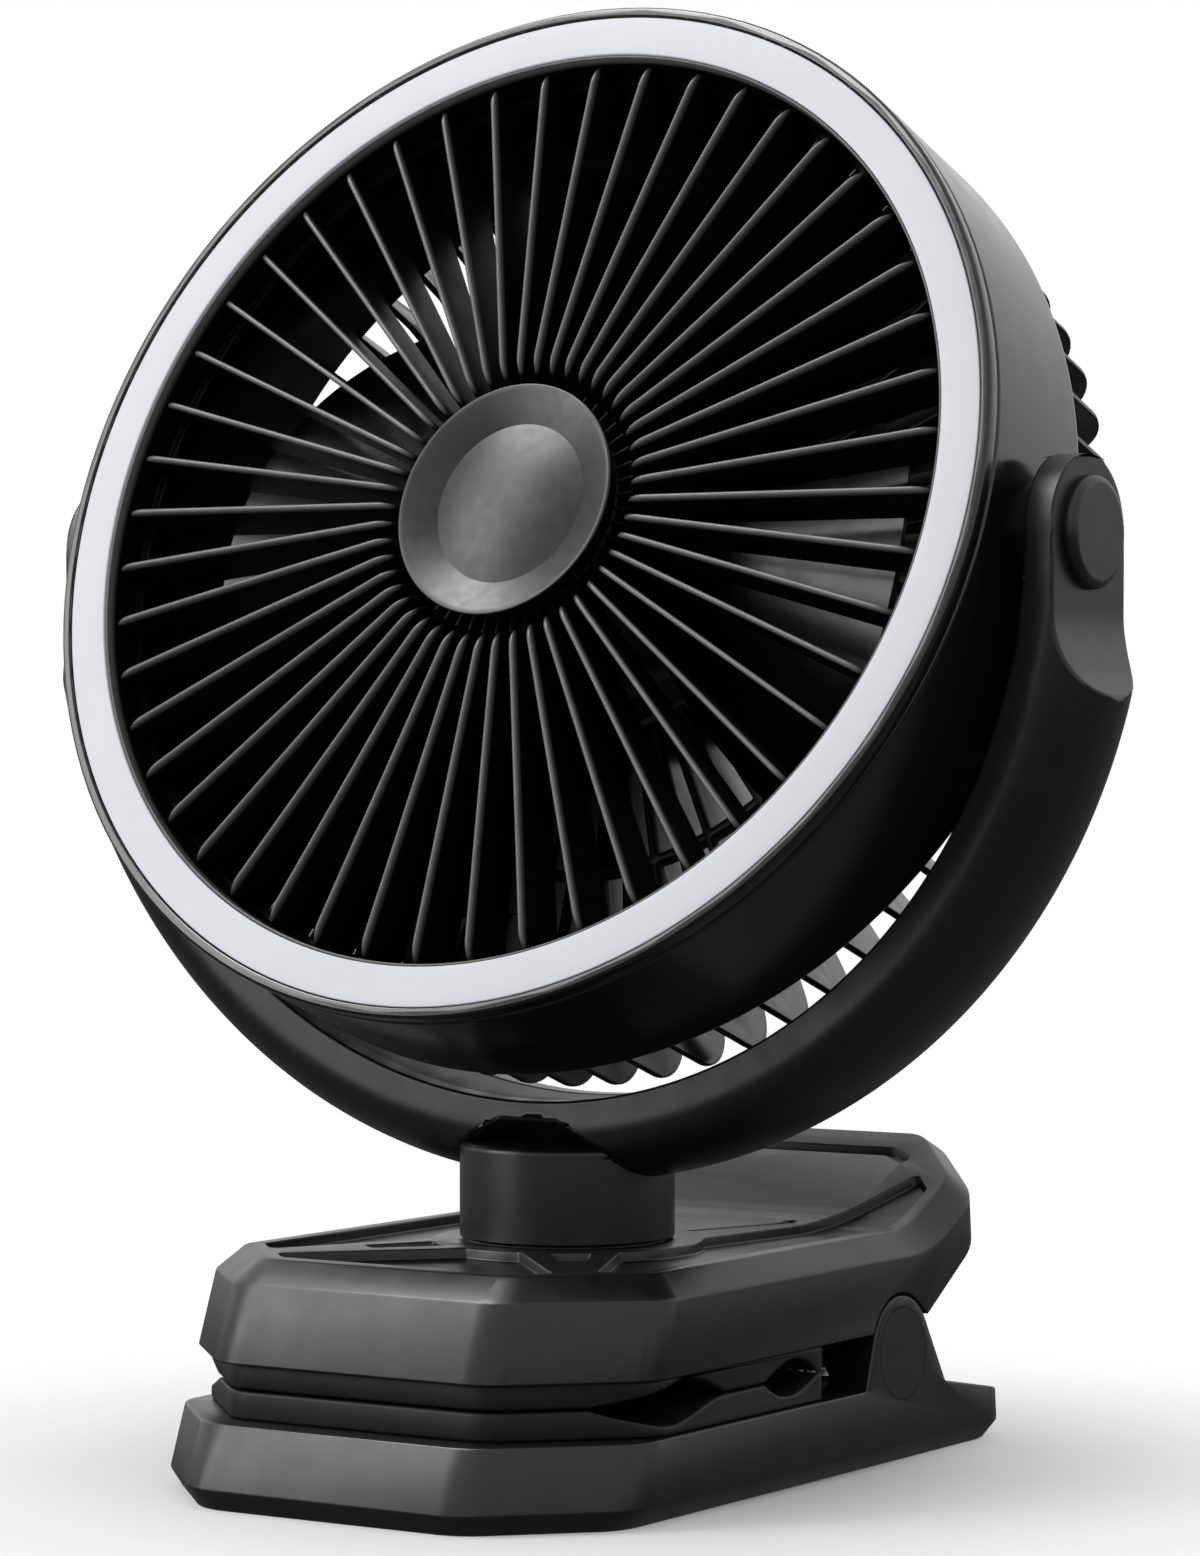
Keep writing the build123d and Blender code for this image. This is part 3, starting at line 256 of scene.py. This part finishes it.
def ribbed(name):
    # grille plastic with a painted highlight on the front edges, which are paler and glossier, and painted
    # shade down the flanks, which are black and less glossy
    material, tree, shader = blank(name)
    forward = HEAD.to_3x3().col[2]
    level = forward.dot(PIVOT)
    coords = tree.nodes.new("ShaderNodeTexCoord")
    depth = tree.nodes.new("ShaderNodeVectorMath")
    depth.operation = "DOT_PRODUCT"
    depth.inputs[1].default_value = forward
    front = tree.nodes.new("ShaderNodeMapRange")
    front.inputs["From Min"].default_value = level + RIB_PAINTED_SHADE_BELOW * MM
    front.inputs["From Max"].default_value = level + RIB_PAINTED_HIGHLIGHT_ABOVE * MM
    # mask of the painted light: 0 on the flanks, 1 on the front edges, with a little random variation
    painted_light_mask = tree.nodes.new("ShaderNodeMath")
    painted_light_mask.operation = "MULTIPLY"
    tree.links.new(coords.outputs["Object"], depth.inputs[0])
    tree.links.new(depth.outputs["Value"], front.inputs["Value"])
    tree.links.new(front.outputs["Result"], painted_light_mask.inputs[0])
    tree.links.new(spread(tree, noise(tree, 300.0), 0.85, 1.0), painted_light_mask.inputs[1])
    # near black on the flanks is painted shade, grey on the front edges is painted highlight
    ramp = tree.nodes.new("ShaderNodeValToRGB")
    ramp.color_ramp.elements[0].color = (0.0030, 0.0030, 0.0031, 1.0)
    ramp.color_ramp.elements[1].color = (0.100, 0.100, 0.100, 1.0)
    tree.links.new(painted_light_mask.outputs["Value"], ramp.inputs["Fac"])
    tree.links.new(ramp.outputs["Color"], shader.inputs["Base Color"])
    # specular level lowered on the flanks as painted shade and raised on the front edges as painted
    # highlight
    painted_light_specular = tree.nodes.new("ShaderNodeMapRange")
    painted_light_specular.inputs["To Min"].default_value = 0.10
    painted_light_specular.inputs["To Max"].default_value = 0.40
    tree.links.new(painted_light_mask.outputs["Value"], painted_light_specular.inputs["Value"])
    tree.links.new(painted_light_specular.outputs["Result"], shader.inputs["Specular IOR Level"])
    tree.links.new(spread(tree, noise(tree, 160.0), 0.36, 0.44), shader.inputs["Roughness"])
    grain(tree, shader, MOULD_GRAIN, MOULD_GRAIN_STRENGTH, GRAIN_DEPTH)
    return material


BLACK = moulded("black_plastic", (0.0040, 0.0040, 0.0042), (0.0052, 0.0052, 0.0055), 0.34, 0.44)
DRUM = moulded("drum_plastic", (0.0030, 0.0030, 0.0032), (0.0038, 0.0038, 0.0040), 0.19, 0.48)
ROTOR = moulded("rotor_plastic", (0.0028, 0.0028, 0.0030), (0.0038, 0.0038, 0.0040), 0.26, 0.36)
RUBBER = moulded(
    "pad_rubber", (0.0050, 0.0050, 0.0050), (0.0070, 0.0070, 0.0070), 0.50, 0.28, 1500.0, RUBBER_GRAIN_DEPTH
)
HUB = metal("hub_satin", (0.036, 0.036, 0.037), (0.041, 0.041, 0.042), 0.34, 5200.0)
LENS = moulded("lens_frost", (0.640, 0.650, 0.695), (0.660, 0.670, 0.715), 0.48, 0.35, 3400.0)
TRAY = moulded("tray_plastic", (0.72, 0.72, 0.71), (0.80, 0.80, 0.79), 0.5, 0.4)
BOARD = moulded("board_green", (0.02, 0.09, 0.04), (0.03, 0.12, 0.05), 0.42, 0.5)
CHIP = moulded("chip_yellow", (0.70, 0.55, 0.16), (0.80, 0.66, 0.22), 0.40, 0.5)
BUSH = moulded("bush_plastic", (0.48, 0.48, 0.45), (0.56, 0.56, 0.52), 0.45, 0.4)
CELL = moulded("cell_wrap", (0.02, 0.06, 0.16), (0.03, 0.08, 0.20), 0.30, 0.5)
PIPE = moulded("light_pipe", (0.10, 0.32, 0.12), (0.14, 0.38, 0.16), 0.25, 0.5)
BUTTON = moulded("button_plastic", (0.022, 0.022, 0.023), (0.028, 0.028, 0.030), 0.42, 0.4)
GRILLE = ribbed("grille_plastic")
STEEL = metal("plain_steel", (0.42, 0.42, 0.43), (0.56, 0.56, 0.56), 0.28)
# steel of the springs darkened as painted shade, so that the coil seen in the hinge recess stays dark
SPRING_PAINTED_SHADE = metal("spring_steel_painted_shade", (0.090, 0.088, 0.086), (0.130, 0.128, 0.125), 0.30)
MOTOR = metal("motor_steel", (0.30, 0.30, 0.31), (0.38, 0.38, 0.39), 0.40)

SLOT_LOOK = {
    "black_plastic": BLACK,
    "grille_plastic": GRILLE,
    "rotor_plastic": ROTOR,
    "rubber": RUBBER,
    "hub_metal": HUB,
    "lens": LENS,
    "tray_plastic": TRAY,
    "board": BOARD,
    "chip": CHIP,
    "steel": STEEL,
    "motor_steel": MOTOR,
    "bush_plastic": BUSH,
    "cell_wrap": CELL,
    "light_pipe": PIPE,
    "button_plastic": BUTTON,
}
slot_of = {row["node"]: row["material_slot"] for row in frame["record"]["subparts"]}
body_of = {n: b for b, members in frame["record"]["behaviour"]["bodies"].items() for n in members}


def dress(obj, material):
    obj.data.materials.clear()
    obj.data.materials.append(material)


for name, obj in nodes.items():
    dress(obj, SLOT_LOOK[slot_of[name]])
# the springs get the darkened steel, painted shade for the hinge recess they sit in
dress(nodes["jaw_springs"], SPRING_PAINTED_SHADE)


# Pieces that stand for CAD nodes

def place(name, mesh, node, material):
    # puts a finished mesh in the scene in the stead of a CAD node
    obj = bpy.data.objects.new(name, mesh)
    scene.collection.objects.link(obj)
    dress(obj, material)
    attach(obj, body_of[node])
    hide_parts(node)
    return obj


def round_edges(obj, width, segments=3, weighted=False):
    edge = obj.modifiers.new("edge", "BEVEL")
    edge.width = width * MM
    edge.segments = segments
    edge.limit_method = "WEIGHT" if weighted else "ANGLE"
    edge.angle_limit = math.radians(EDGE_ANGLE)
    edge.use_clamp_overlap = False
    edge.harden_normals = True
    edge.miter_outer = "MITER_ARC"
    return obj


def softened(node, width, material, segments=3, sharp=None):
    # the node's own form with its sharp edges rounded over, but for those that sharp picks out
    mesh = bpy.data.meshes.new(node + "_form")
    bm = bmesh.new()
    bm.from_mesh(nodes[node].data)
    bmesh.ops.remove_doubles(bm, verts=bm.verts, dist=MERGE_CAD * MM)
    flat = math.radians(FLAT_ANGLE)
    bmesh.ops.dissolve_limit(
        bm, angle_limit=flat, verts=bm.verts, edges=bm.edges, use_dissolve_boundaries=False
    )
    for face in bm.faces:
        face.smooth = True
    if sharp:
        weight = bm.edges.layers.float.new("bevel_weight_edge")
        for edge in bm.edges:
            if len(edge.link_faces) == 2 and edge.calc_face_angle(0.0) > math.radians(EDGE_ANGLE):
                edge.smooth = not all(sharp(v.co / MM) for v in edge.verts)
                edge[weight] = 1.0 if edge.smooth else 0.0
    bm.to_mesh(mesh)
    bm.free()
    piece = place(node + "_form", mesh, node, material)
    return round_edges(piece, width, segments, weighted=bool(sharp))


def cap_seat(point):
    # the seat of a hinge cap in the ear, which keeps a sharp edge
    away = math.hypot(point.y - CAP_SEAT_Y, point.z - CAP_SEAT_Z)
    return abs(point.x) > CAP_SEAT_X and away < CAP_SEAT_REACH


def skin(bm, rings):
    # faces between each ring of points and the next
    for a, b in zip(rings, rings[1:]):
        for k in range(len(a)):
            m = (k + 1) % len(a)
            bm.faces.new((a[k], b[k], b[m], a[m]))


def lathe(bm, profile, steps):
    # turns a closed outline of (radius, height) in millimetres about the Z axis
    rings = []
    for index in range(steps):
        angle = 2 * math.pi * index / steps
        c, s = math.cos(angle), math.sin(angle)
        rings.append([bm.verts.new(Vector((r * c, r * s, z)) * MM) for r, z in profile])
    skin(bm, rings + rings[:1])
    return rings


def arc(cx, cz, radius, start, end, steps):
    # points of a circular bend in an outline, angles in degrees
    turn = [math.radians(start + (end - start) * i / steps) for i in range(steps + 1)]
    return [(cx + radius * math.cos(a), cz + radius * math.sin(a)) for a in turn]


def finish_mesh(bm, name, smooth_angle=35.0, seat=HEAD):
    # closes a form, sets it in its place and smooths it up to an angle in degrees
    bmesh.ops.remove_doubles(bm, verts=bm.verts, dist=MERGE * MM)
    bmesh.ops.recalc_face_normals(bm, faces=bm.faces)
    mesh = bpy.data.meshes.new(name)
    bm.to_mesh(mesh)
    bm.free()
    mesh.transform(seat)
    mesh.shade_smooth()
    mesh.set_sharp_from_angle(angle=math.radians(smooth_angle))
    return mesh


def rib_path():
    # front edge of one rib: dips under the hub, runs straight, curves back at the rim
    inner = [(RIB_START, GRILLE_HUB_FRONT), (RIB_FOOT, GRILLE_HUB_FRONT)]
    inner += arc(RIB_INNER_CENTRE, RIB_TOP - RIB_INNER_BEND, RIB_INNER_BEND, 173.0, 90.0, 9)
    straight = [(RIB_STRAIGHT_START + RIB_STRAIGHT_STEP * i, RIB_TOP) for i in range(6)]
    outer = arc(RIB_OUTER_CENTRE, RIB_TOP - RIB_OUTER_BEND, RIB_OUTER_BEND, 90.0, 31.0, 7)
    return inner + straight + outer


def add_rib(bm, angle, path):
    # one upright rib with a half-round front edge along the path
    half = RIB_THICK / 2
    bend = [math.radians(a) for a in (-90, -60, -30, 0, 30, 60, 90)]
    turn = Matrix.Rotation(angle, 4, "Z")
    rings = []
    for i, (r, z) in enumerate(path):
        before = path[max(i - 1, 0)]
        after = path[min(i + 1, len(path) - 1)]
        run = Vector((after[0] - before[0], after[1] - before[1])).normalized()
        out = Vector((-run.y, run.x))
        ring = [Vector((r, -half, RIB_BACK))]
        for a in bend:
            reach = half * math.cos(a) - half
            ring.append(Vector((r + out.x * reach, half * math.sin(a), z + out.y * reach)))
        ring.append(Vector((r, half, RIB_BACK)))
        rings.append([bm.verts.new(turn @ (point * MM)) for point in ring])
    skin(bm, rings)
    bm.faces.new(rings[0])
    bm.faces.new(list(reversed(rings[-1])))


def front_grille():
    # rim with a ledge, middle boss and ribs
    bm = bmesh.new()
    rim = [(RIM_INSIDE, RIM_BACK), (RIM_OUTSIDE, RIM_BACK), (RIM_OUTSIDE, RIM_FRONT)]
    rim += arc(RIM_OUTSIDE - RIM_ROUND, RIM_FRONT, RIM_ROUND, 0.0, 180.0, 5)
    lathe(bm, rim + RIM_LEDGE, 240)
    edge = GRILLE_HUB_EDGE
    boss = [
        (edge, RIB_BACK),
        (GRILLE_HUB_RADIUS - edge, RIB_BACK),
        (GRILLE_HUB_RADIUS, RIB_BACK + edge),
        (GRILLE_HUB_RADIUS, GRILLE_HUB_FRONT - edge),
        (GRILLE_HUB_RADIUS - edge, GRILLE_HUB_FRONT),
        (edge, GRILLE_HUB_FRONT),
    ]
    lathe(bm, boss, 96)
    path = rib_path()
    for index in range(RIB_COUNT):
        add_rib(bm, 2 * math.pi * index / RIB_COUNT, path)
    return finish_mesh(bm, "front_grille_form")


def hub_cap():
    # dished cap: sloping rim round a low domed disc
    bm = bmesh.new()
    outline = [(0.0, HUB_STEM_BACK), (HUB_STEM_RADIUS, HUB_STEM_BACK), (HUB_STEM_RADIUS, HUB_UNDER)]
    outline += [HUB_RIM_UNDER] + arc(*HUB_RIM_CENTRE, HUB_RIM_ROUND, -60.0, 95.0, 16) + [HUB_DISH_EDGE]
    for step in (24, 20, 16, 12, 8, 4):
        share = math.sin(math.radians(step)) / math.sin(math.radians(24))
        outline.append((HUB_DISC_RADIUS * share, HUB_DISC_LEVEL + HUB_DOME * (1 - share**2)))
    outline.append((0.0, HUB_DISC_LEVEL + HUB_DOME))
    lathe(bm, outline, 160)
    return finish_mesh(bm, "hub_cap_form", 15.0)


def neck_post():
    # round post with a rolled top edge, on a spigot that goes down into the jaw
    bm = bmesh.new()
    outline = [(0.0, SPIGOT_LOW), (SPIGOT_RADIUS, SPIGOT_LOW), (SPIGOT_RADIUS, NECK_LOW)]
    outline += [(NECK_RADIUS - NECK_EDGE, NECK_LOW), (NECK_RADIUS, NECK_LOW + NECK_EDGE)]
    outline += arc(NECK_RADIUS - NECK_ROUND, NECK_TOP - NECK_ROUND, NECK_ROUND, 0.0, 90.0, 8)
    outline.append((0.0, NECK_TOP))
    lathe(bm, outline, 144)
    return finish_mesh(bm, "neck_post_form", seat=Matrix.Translation((PIVOT.x, PIVOT.y, 0.0)))


def light_ring():
    # flat frosted ring with rounded edges and a slight crown
    bm = bmesh.new()
    outline = [(LENS_INSIDE, LENS_BACK), (LENS_OUTSIDE, LENS_BACK), (LENS_OUTSIDE, LENS_EDGE)]
    outline += arc(LENS_OUTSIDE - LENS_ROUND, LENS_EDGE, LENS_ROUND, 0.0, 90.0, 4) + LENS_CROWN
    outline += arc(LENS_INSIDE + LENS_ROUND, LENS_EDGE, LENS_ROUND, 90.0, 180.0, 4)
    lathe(bm, outline, 288)
    return finish_mesh(bm, "light_ring_form")


def drum_housing():
    # round shell open to the front, with its duct wall inside and a boss for each tilt pivot
    bm = bmesh.new()
    inner, duct = DRUM_RADIUS - DRUM_WALL, DUCT_INSIDE + DUCT_WALL
    floor = DRUM_REAR + FLANGE_THICK
    low, high = DRUM_REAR + DRUM_REAR_ROUND, DRUM_FRONT - DRUM_FRONT_ROUND
    outline = [(DUCT_INSIDE, DRUM_REAR)]
    outline += arc(DRUM_RADIUS - DRUM_REAR_ROUND, low, DRUM_REAR_ROUND, -90.0, 0.0, 6)
    outline += [(DRUM_RADIUS, low + DRUM_FLAT_INSET), (DRUM_RADIUS, high - DRUM_FLAT_INSET)]
    outline += arc(DRUM_RADIUS - DRUM_FRONT_ROUND, high, DRUM_FRONT_ROUND, 0.0, 90.0, 4)
    outline += [(inner, DRUM_FRONT), (inner, floor), (duct, floor), (duct, DUCT_FRONT)]
    outline.append((DUCT_INSIDE, DUCT_FRONT))
    lathe(bm, outline, 288)
    start = inner - DRUM_WALL
    tube = [(BOSS_BORE, start), (BOSS_RADIUS, start), (BOSS_RADIUS, BOSS_END), (BOSS_BORE, BOSS_END)]
    for side in (-90.0, 90.0):
        boss = [vert for ring in lathe(bm, tube, 64) for vert in ring]
        turn = Matrix.Rotation(math.radians(side), 3, "Y")
        bmesh.ops.rotate(bm, verts=boss, cent=(0.0, 0.0, 0.0), matrix=turn)
    return finish_mesh(bm, "drum_housing_form")


def scoop_depth(height):
    # how far out the flat on an arm leaves the yoke, by height from the pivot
    if height >= ARM_FLAT_LOW:
        return ARM_FLAT
    if height > ARM_RAMP_LOW:
        return ARM_FLAT + SCOOP_ROUND - math.sqrt(SCOOP_ROUND**2 - (ARM_FLAT_LOW - height) ** 2)
    return UNCUT


def yoke_side(reach):
    # front half of the bar's section: nearly flat band, then a roll to the back, cut off at the scoop
    band = [i / 16 for i in range(17)]
    side = [(YOKE_INSIDE + (BAND_END - YOKE_INSIDE) * f, YOKE_HALF - BAND_LEAN * (1 - f)) for f in band]
    for i in range(1, 31):
        a = math.radians(3 * i)
        side.append((BAND_END + (YOKE_OUTSIDE - BAND_END) * math.sin(a), YOKE_HALF * math.cos(a)))
    kept = [side[0]]
    for (r0, y0), (r1, y1) in zip(side, side[1:]):
        if r1 > reach:
            kept.append((reach, y0 + (y1 - y0) * (reach - r0) / (r1 - r0)))
            break
        kept.append((r1, y1))
    return kept


def spaced(path, steps):
    # points at even distances along a path
    run = [0.0]
    for a, b in zip(path, path[1:]):
        run.append(run[-1] + math.dist(a, b))
    spots = []
    for i in range(steps + 1):
        goal = run[-1] * i / steps
        k = max(n for n in range(len(run) - 1) if run[n] <= goal + 1e-9 or n == 0)
        f = min((goal - run[k]) / (run[k + 1] - run[k]), 1.0)
        spots.append([path[k][n] + (path[k + 1][n] - path[k][n]) * f for n in (0, 1)])
    return spots


def yoke_section(reach, half, channel):
    # whole section of the bar, with the flat that the scoop leaves and a channel along its inner face
    spots = [(r, y * half / YOKE_HALF) for r, y in spaced(yoke_side(reach), 24)]
    back, edge = spots[-1]
    face = [(back, edge * (1 - i / 5)) for i in range(1, 10)]
    wall = min(CHANNEL_HALF, half * CHANNEL_HALF_SHARE)
    bed = YOKE_INSIDE + channel
    inner = [(YOKE_INSIDE, -wall), (bed, -wall), (bed, wall), (YOKE_INSIDE, wall)]
    return spots + face + [(r, -y) for r, y in reversed(spots)] + inner


def yoke_stations():
    # angle up from the lowest point, height over the pivot and channel depth of each section
    coarse = [CHANNEL_STOP + CHANNEL_STEP] + list(range(CHANNEL_STOP + 1, ARM_START))
    fine = [ARM_START + 0.5 * i for i in range(35)]
    rise = [5 * i for i in range(1, 18)] + [ARM_TIP]
    spots = [(math.radians(a), 0.0, CHANNEL_DEPTH) for a in range(CHANNEL_STOP + 1)]
    spots += [(math.radians(a), 0.0, 0.0) for a in coarse + fine]
    return spots + [(math.pi / 2, YOKE_HALF * math.sin(math.radians(a)), 0.0) for a in rise]


def yoke_reach(turn, height):
    # radius at which the scoop cuts a section, found by steps
    if turn <= SCOOP_FROM:
        return UNCUT
    reach = YOKE_OUTSIDE
    for _ in range(12):
        reach = scoop_depth(height - reach * math.cos(turn)) / math.sin(turn)
        reach = min(reach, YOKE_OUTSIDE)
    return reach


def yoke_form():
    # half ring from arm to arm, each arm ending in a round about its pivot
    spots = yoke_stations()
    bm = bmesh.new()
    rings = []
    for side in (-1, 1):
        for turn, height, channel in reversed(spots) if side < 0 else spots[1:]:
            half = math.sqrt(YOKE_HALF**2 - height**2)
            ring = []
            for r, y in yoke_section(yoke_reach(turn, height), half, channel):
                spot = Vector((side * r * math.sin(turn), y, height - r * math.cos(turn)))
                ring.append(bm.verts.new(spot * MM + PIVOT))
            rings.append(ring)
    skin(bm, rings)
    bm.faces.new(rings[0])
    bm.faces.new(list(reversed(rings[-1])))
    bmesh.ops.remove_doubles(bm, verts=bm.verts, dist=MERGE_YOKE * MM)
    bmesh.ops.dissolve_degenerate(bm, edges=bm.edges, dist=SLIVER * MM)
    bmesh.ops.recalc_face_normals(bm, faces=bm.faces)
    whole = bpy.data.meshes.new("yoke_whole")
    bm.to_mesh(whole)
    bm.free()
    mesh = notched(whole)
    mesh.shade_smooth()
    return mesh


def notched(whole):
    # cuts the recess over the neck out of the front of the yoke
    bm = bmesh.new()
    for side in (-1, 1):
        for x, y, z in NOTCH_CORNERS:
            bm.verts.new(Vector((side * x, y, z)) * MM)
    hull = bmesh.ops.convex_hull(bm, input=bm.verts)
    left = hull["geom_interior"] + hull["geom_unused"]
    spare = {vert for vert in left if isinstance(vert, bmesh.types.BMVert)}
    bmesh.ops.delete(bm, geom=list(spare), context="VERTS")
    bmesh.ops.recalc_face_normals(bm, faces=bm.faces)
    wedge = bpy.data.meshes.new("yoke_wedge")
    bm.to_mesh(wedge)
    bm.free()
    body = bpy.data.objects.new("yoke_whole", whole)
    tool = bpy.data.objects.new("yoke_wedge", wedge)
    scene.collection.objects.link(body)
    scene.collection.objects.link(tool)
    cut = body.modifiers.new("recess", "BOOLEAN")
    cut.operation = "DIFFERENCE"
    cut.solver = "EXACT"
    cut.object = tool
    ready = body.evaluated_get(bpy.context.evaluated_depsgraph_get())
    mesh = bpy.data.meshes.new_from_object(ready)
    mesh.name = "yoke_form"
    for obj in (body, tool):
        bpy.data.objects.remove(obj)
    return mesh


place("front_grille_form", front_grille(), "front_grille", GRILLE)
place("hub_cap_form", hub_cap(), "hub_cap", HUB)
place("light_ring_form", light_ring(), "light_diffuser", LENS)
softened("lower_jaw", 0.4, BLACK, sharp=cap_seat)
softened("upper_jaw", 0.35, BLACK)
softened("lower_pad", 0.6, RUBBER)
softened("upper_pad", 0.6, RUBBER)
place("neck_post_form", neck_post(), "neck_post", BLACK)
round_edges(place("yoke_form", yoke_form(), "yoke", BLACK), 0.6)
place("drum_housing_form", drum_housing(), "drum_housing", DRUM)
softened("bezel_ring", 0.25, DRUM)
softened("rear_hub", 0.5, BLACK)
softened("rear_grille", 0.25, BLACK, 2)
softened("power_button", 0.5, BUTTON)
softened("light_button", 0.5, BUTTON)


# Stage: pale floor that fades out, white surround, soft studio lamps, sizes in metres

FLOOR_RADIUS = 2.4
FADE_START = 0.02
FADE_END = 0.19
HORIZON_LOW = -0.10
HORIZON_HIGH = 0.16
MIRRORED_LOW = 0.12
AMBIENT = 0.62
WHITE = 1.0


def fading_floor():
    bpy.ops.mesh.primitive_circle_add(vertices=96, radius=FLOOR_RADIUS, fill_type="NGON")
    floor = bpy.context.object
    floor.name = "floor"
    material, tree, shader = blank("pale_floor")
    shader.inputs["Base Color"].default_value = (0.88, 0.88, 0.885, 1.0)
    shader.inputs["Roughness"].default_value = 0.9
    shader.inputs["Specular IOR Level"].default_value = 0.1
    coords = tree.nodes.new("ShaderNodeTexCoord")
    length = tree.nodes.new("ShaderNodeVectorMath")
    length.operation = "LENGTH"
    fade = tree.nodes.new("ShaderNodeMapRange")
    fade.interpolation_type = "SMOOTHSTEP"
    fade.inputs["From Min"].default_value = FADE_START
    fade.inputs["From Max"].default_value = FADE_END
    clear = tree.nodes.new("ShaderNodeBsdfTransparent")
    mix = tree.nodes.new("ShaderNodeMixShader")
    output = next(n for n in tree.nodes if n.type == "OUTPUT_MATERIAL")
    tree.links.new(coords.outputs["Object"], length.inputs[0])
    tree.links.new(length.outputs["Value"], fade.inputs["Value"])
    tree.links.new(fade.outputs["Result"], mix.inputs["Fac"])
    tree.links.new(shader.outputs["BSDF"], mix.inputs[1])
    tree.links.new(clear.outputs["BSDF"], mix.inputs[2])
    tree.links.new(mix.outputs["Shader"], output.inputs["Surface"])
    dress(floor, material)
    floor.visible_glossy = False


def white_world():
    # white to the eye; a mirrored ray finds the same white, which dims under the horizon
    world = bpy.data.worlds.new("studio")
    scene.world = world
    world.use_nodes = True
    tree = world.node_tree
    tree.nodes.clear()
    output = tree.nodes.new("ShaderNodeOutputWorld")
    rays = tree.nodes.new("ShaderNodeLightPath")
    coords = tree.nodes.new("ShaderNodeTexCoord")
    split = tree.nodes.new("ShaderNodeSeparateXYZ")
    rise = tree.nodes.new("ShaderNodeMapRange")
    rise.interpolation_type = "SMOOTHSTEP"
    rise.inputs["From Min"].default_value = HORIZON_LOW
    rise.inputs["From Max"].default_value = HORIZON_HIGH
    rise.inputs["To Min"].default_value = MIRRORED_LOW
    rise.inputs["To Max"].default_value = WHITE
    shades = []
    for strength in (AMBIENT, WHITE, WHITE):
        shade = tree.nodes.new("ShaderNodeBackground")
        shade.inputs["Color"].default_value = (1.0, 1.0, 1.0, 1.0)
        shade.inputs["Strength"].default_value = strength
        shades.append(shade)
    ambient, mirrored, white = shades
    seen = tree.nodes.new("ShaderNodeMath")
    seen.operation = "MAXIMUM"
    gloss = tree.nodes.new("ShaderNodeMixShader")
    final = tree.nodes.new("ShaderNodeMixShader")
    tree.links.new(coords.outputs["Generated"], split.inputs["Vector"])
    tree.links.new(split.outputs["Z"], rise.inputs["Value"])
    tree.links.new(rise.outputs["Result"], mirrored.inputs["Strength"])
    tree.links.new(rays.outputs["Is Glossy Ray"], gloss.inputs["Fac"])
    tree.links.new(ambient.outputs["Background"], gloss.inputs[1])
    tree.links.new(mirrored.outputs["Background"], gloss.inputs[2])
    tree.links.new(rays.outputs["Is Camera Ray"], seen.inputs[0])
    tree.links.new(rays.outputs["Is Transmission Ray"], seen.inputs[1])
    tree.links.new(seen.outputs["Value"], final.inputs["Fac"])
    tree.links.new(gloss.outputs["Shader"], final.inputs[1])
    tree.links.new(white.outputs["Background"], final.inputs[2])
    tree.links.new(final.outputs["Shader"], output.inputs["Surface"])


def softbox(name, spot, aim, width, height, power, reflected_only=False):
    # rectangular lamp turned to a point, which may show in reflections only
    lamp = bpy.data.lights.new(name, "AREA")
    lamp.shape = "RECTANGLE"
    lamp.size = width
    lamp.size_y = height
    lamp.energy = power
    obj = bpy.data.objects.new(name, lamp)
    scene.collection.objects.link(obj)
    obj.location = spot
    obj.rotation_euler = (Vector(aim) - Vector(spot)).to_track_quat("-Z", "Y").to_euler()
    obj.visible_diffuse = not reflected_only


fading_floor()
white_world()
softbox("key_left", (-0.72, -0.69, 0.58), (0.0, 0.0, 0.10), 0.44, 0.80, 6.4)
softbox("top_left", (-0.48, -0.28, 1.12), (0.0, 0.0, 0.15), 0.50, 0.50, 12.0, reflected_only=True)
softbox("low_left", (-0.55, -0.93, 0.15), (0.0, -0.02, 0.06), 0.20, 0.20, 0.5, reflected_only=True)


# Camera at the photo's angle

def photo_camera():
    camera = bpy.data.cameras.new("camera")
    camera.lens = 111.88
    camera.sensor_width = 36.0
    obj = bpy.data.objects.new("camera", camera)
    scene.collection.objects.link(obj)
    yaw, pitch = math.radians(32.935), math.radians(-0.680)
    obj.location = Vector((478.80, -732.01, 134.68)) * MM
    obj.rotation_euler = (math.pi / 2 + pitch, 0.0, yaw)
    camera.clip_start = 0.05
    camera.clip_end = 20.0
    scene.camera = obj


photo_camera()
scene.view_settings.view_transform = "Standard"
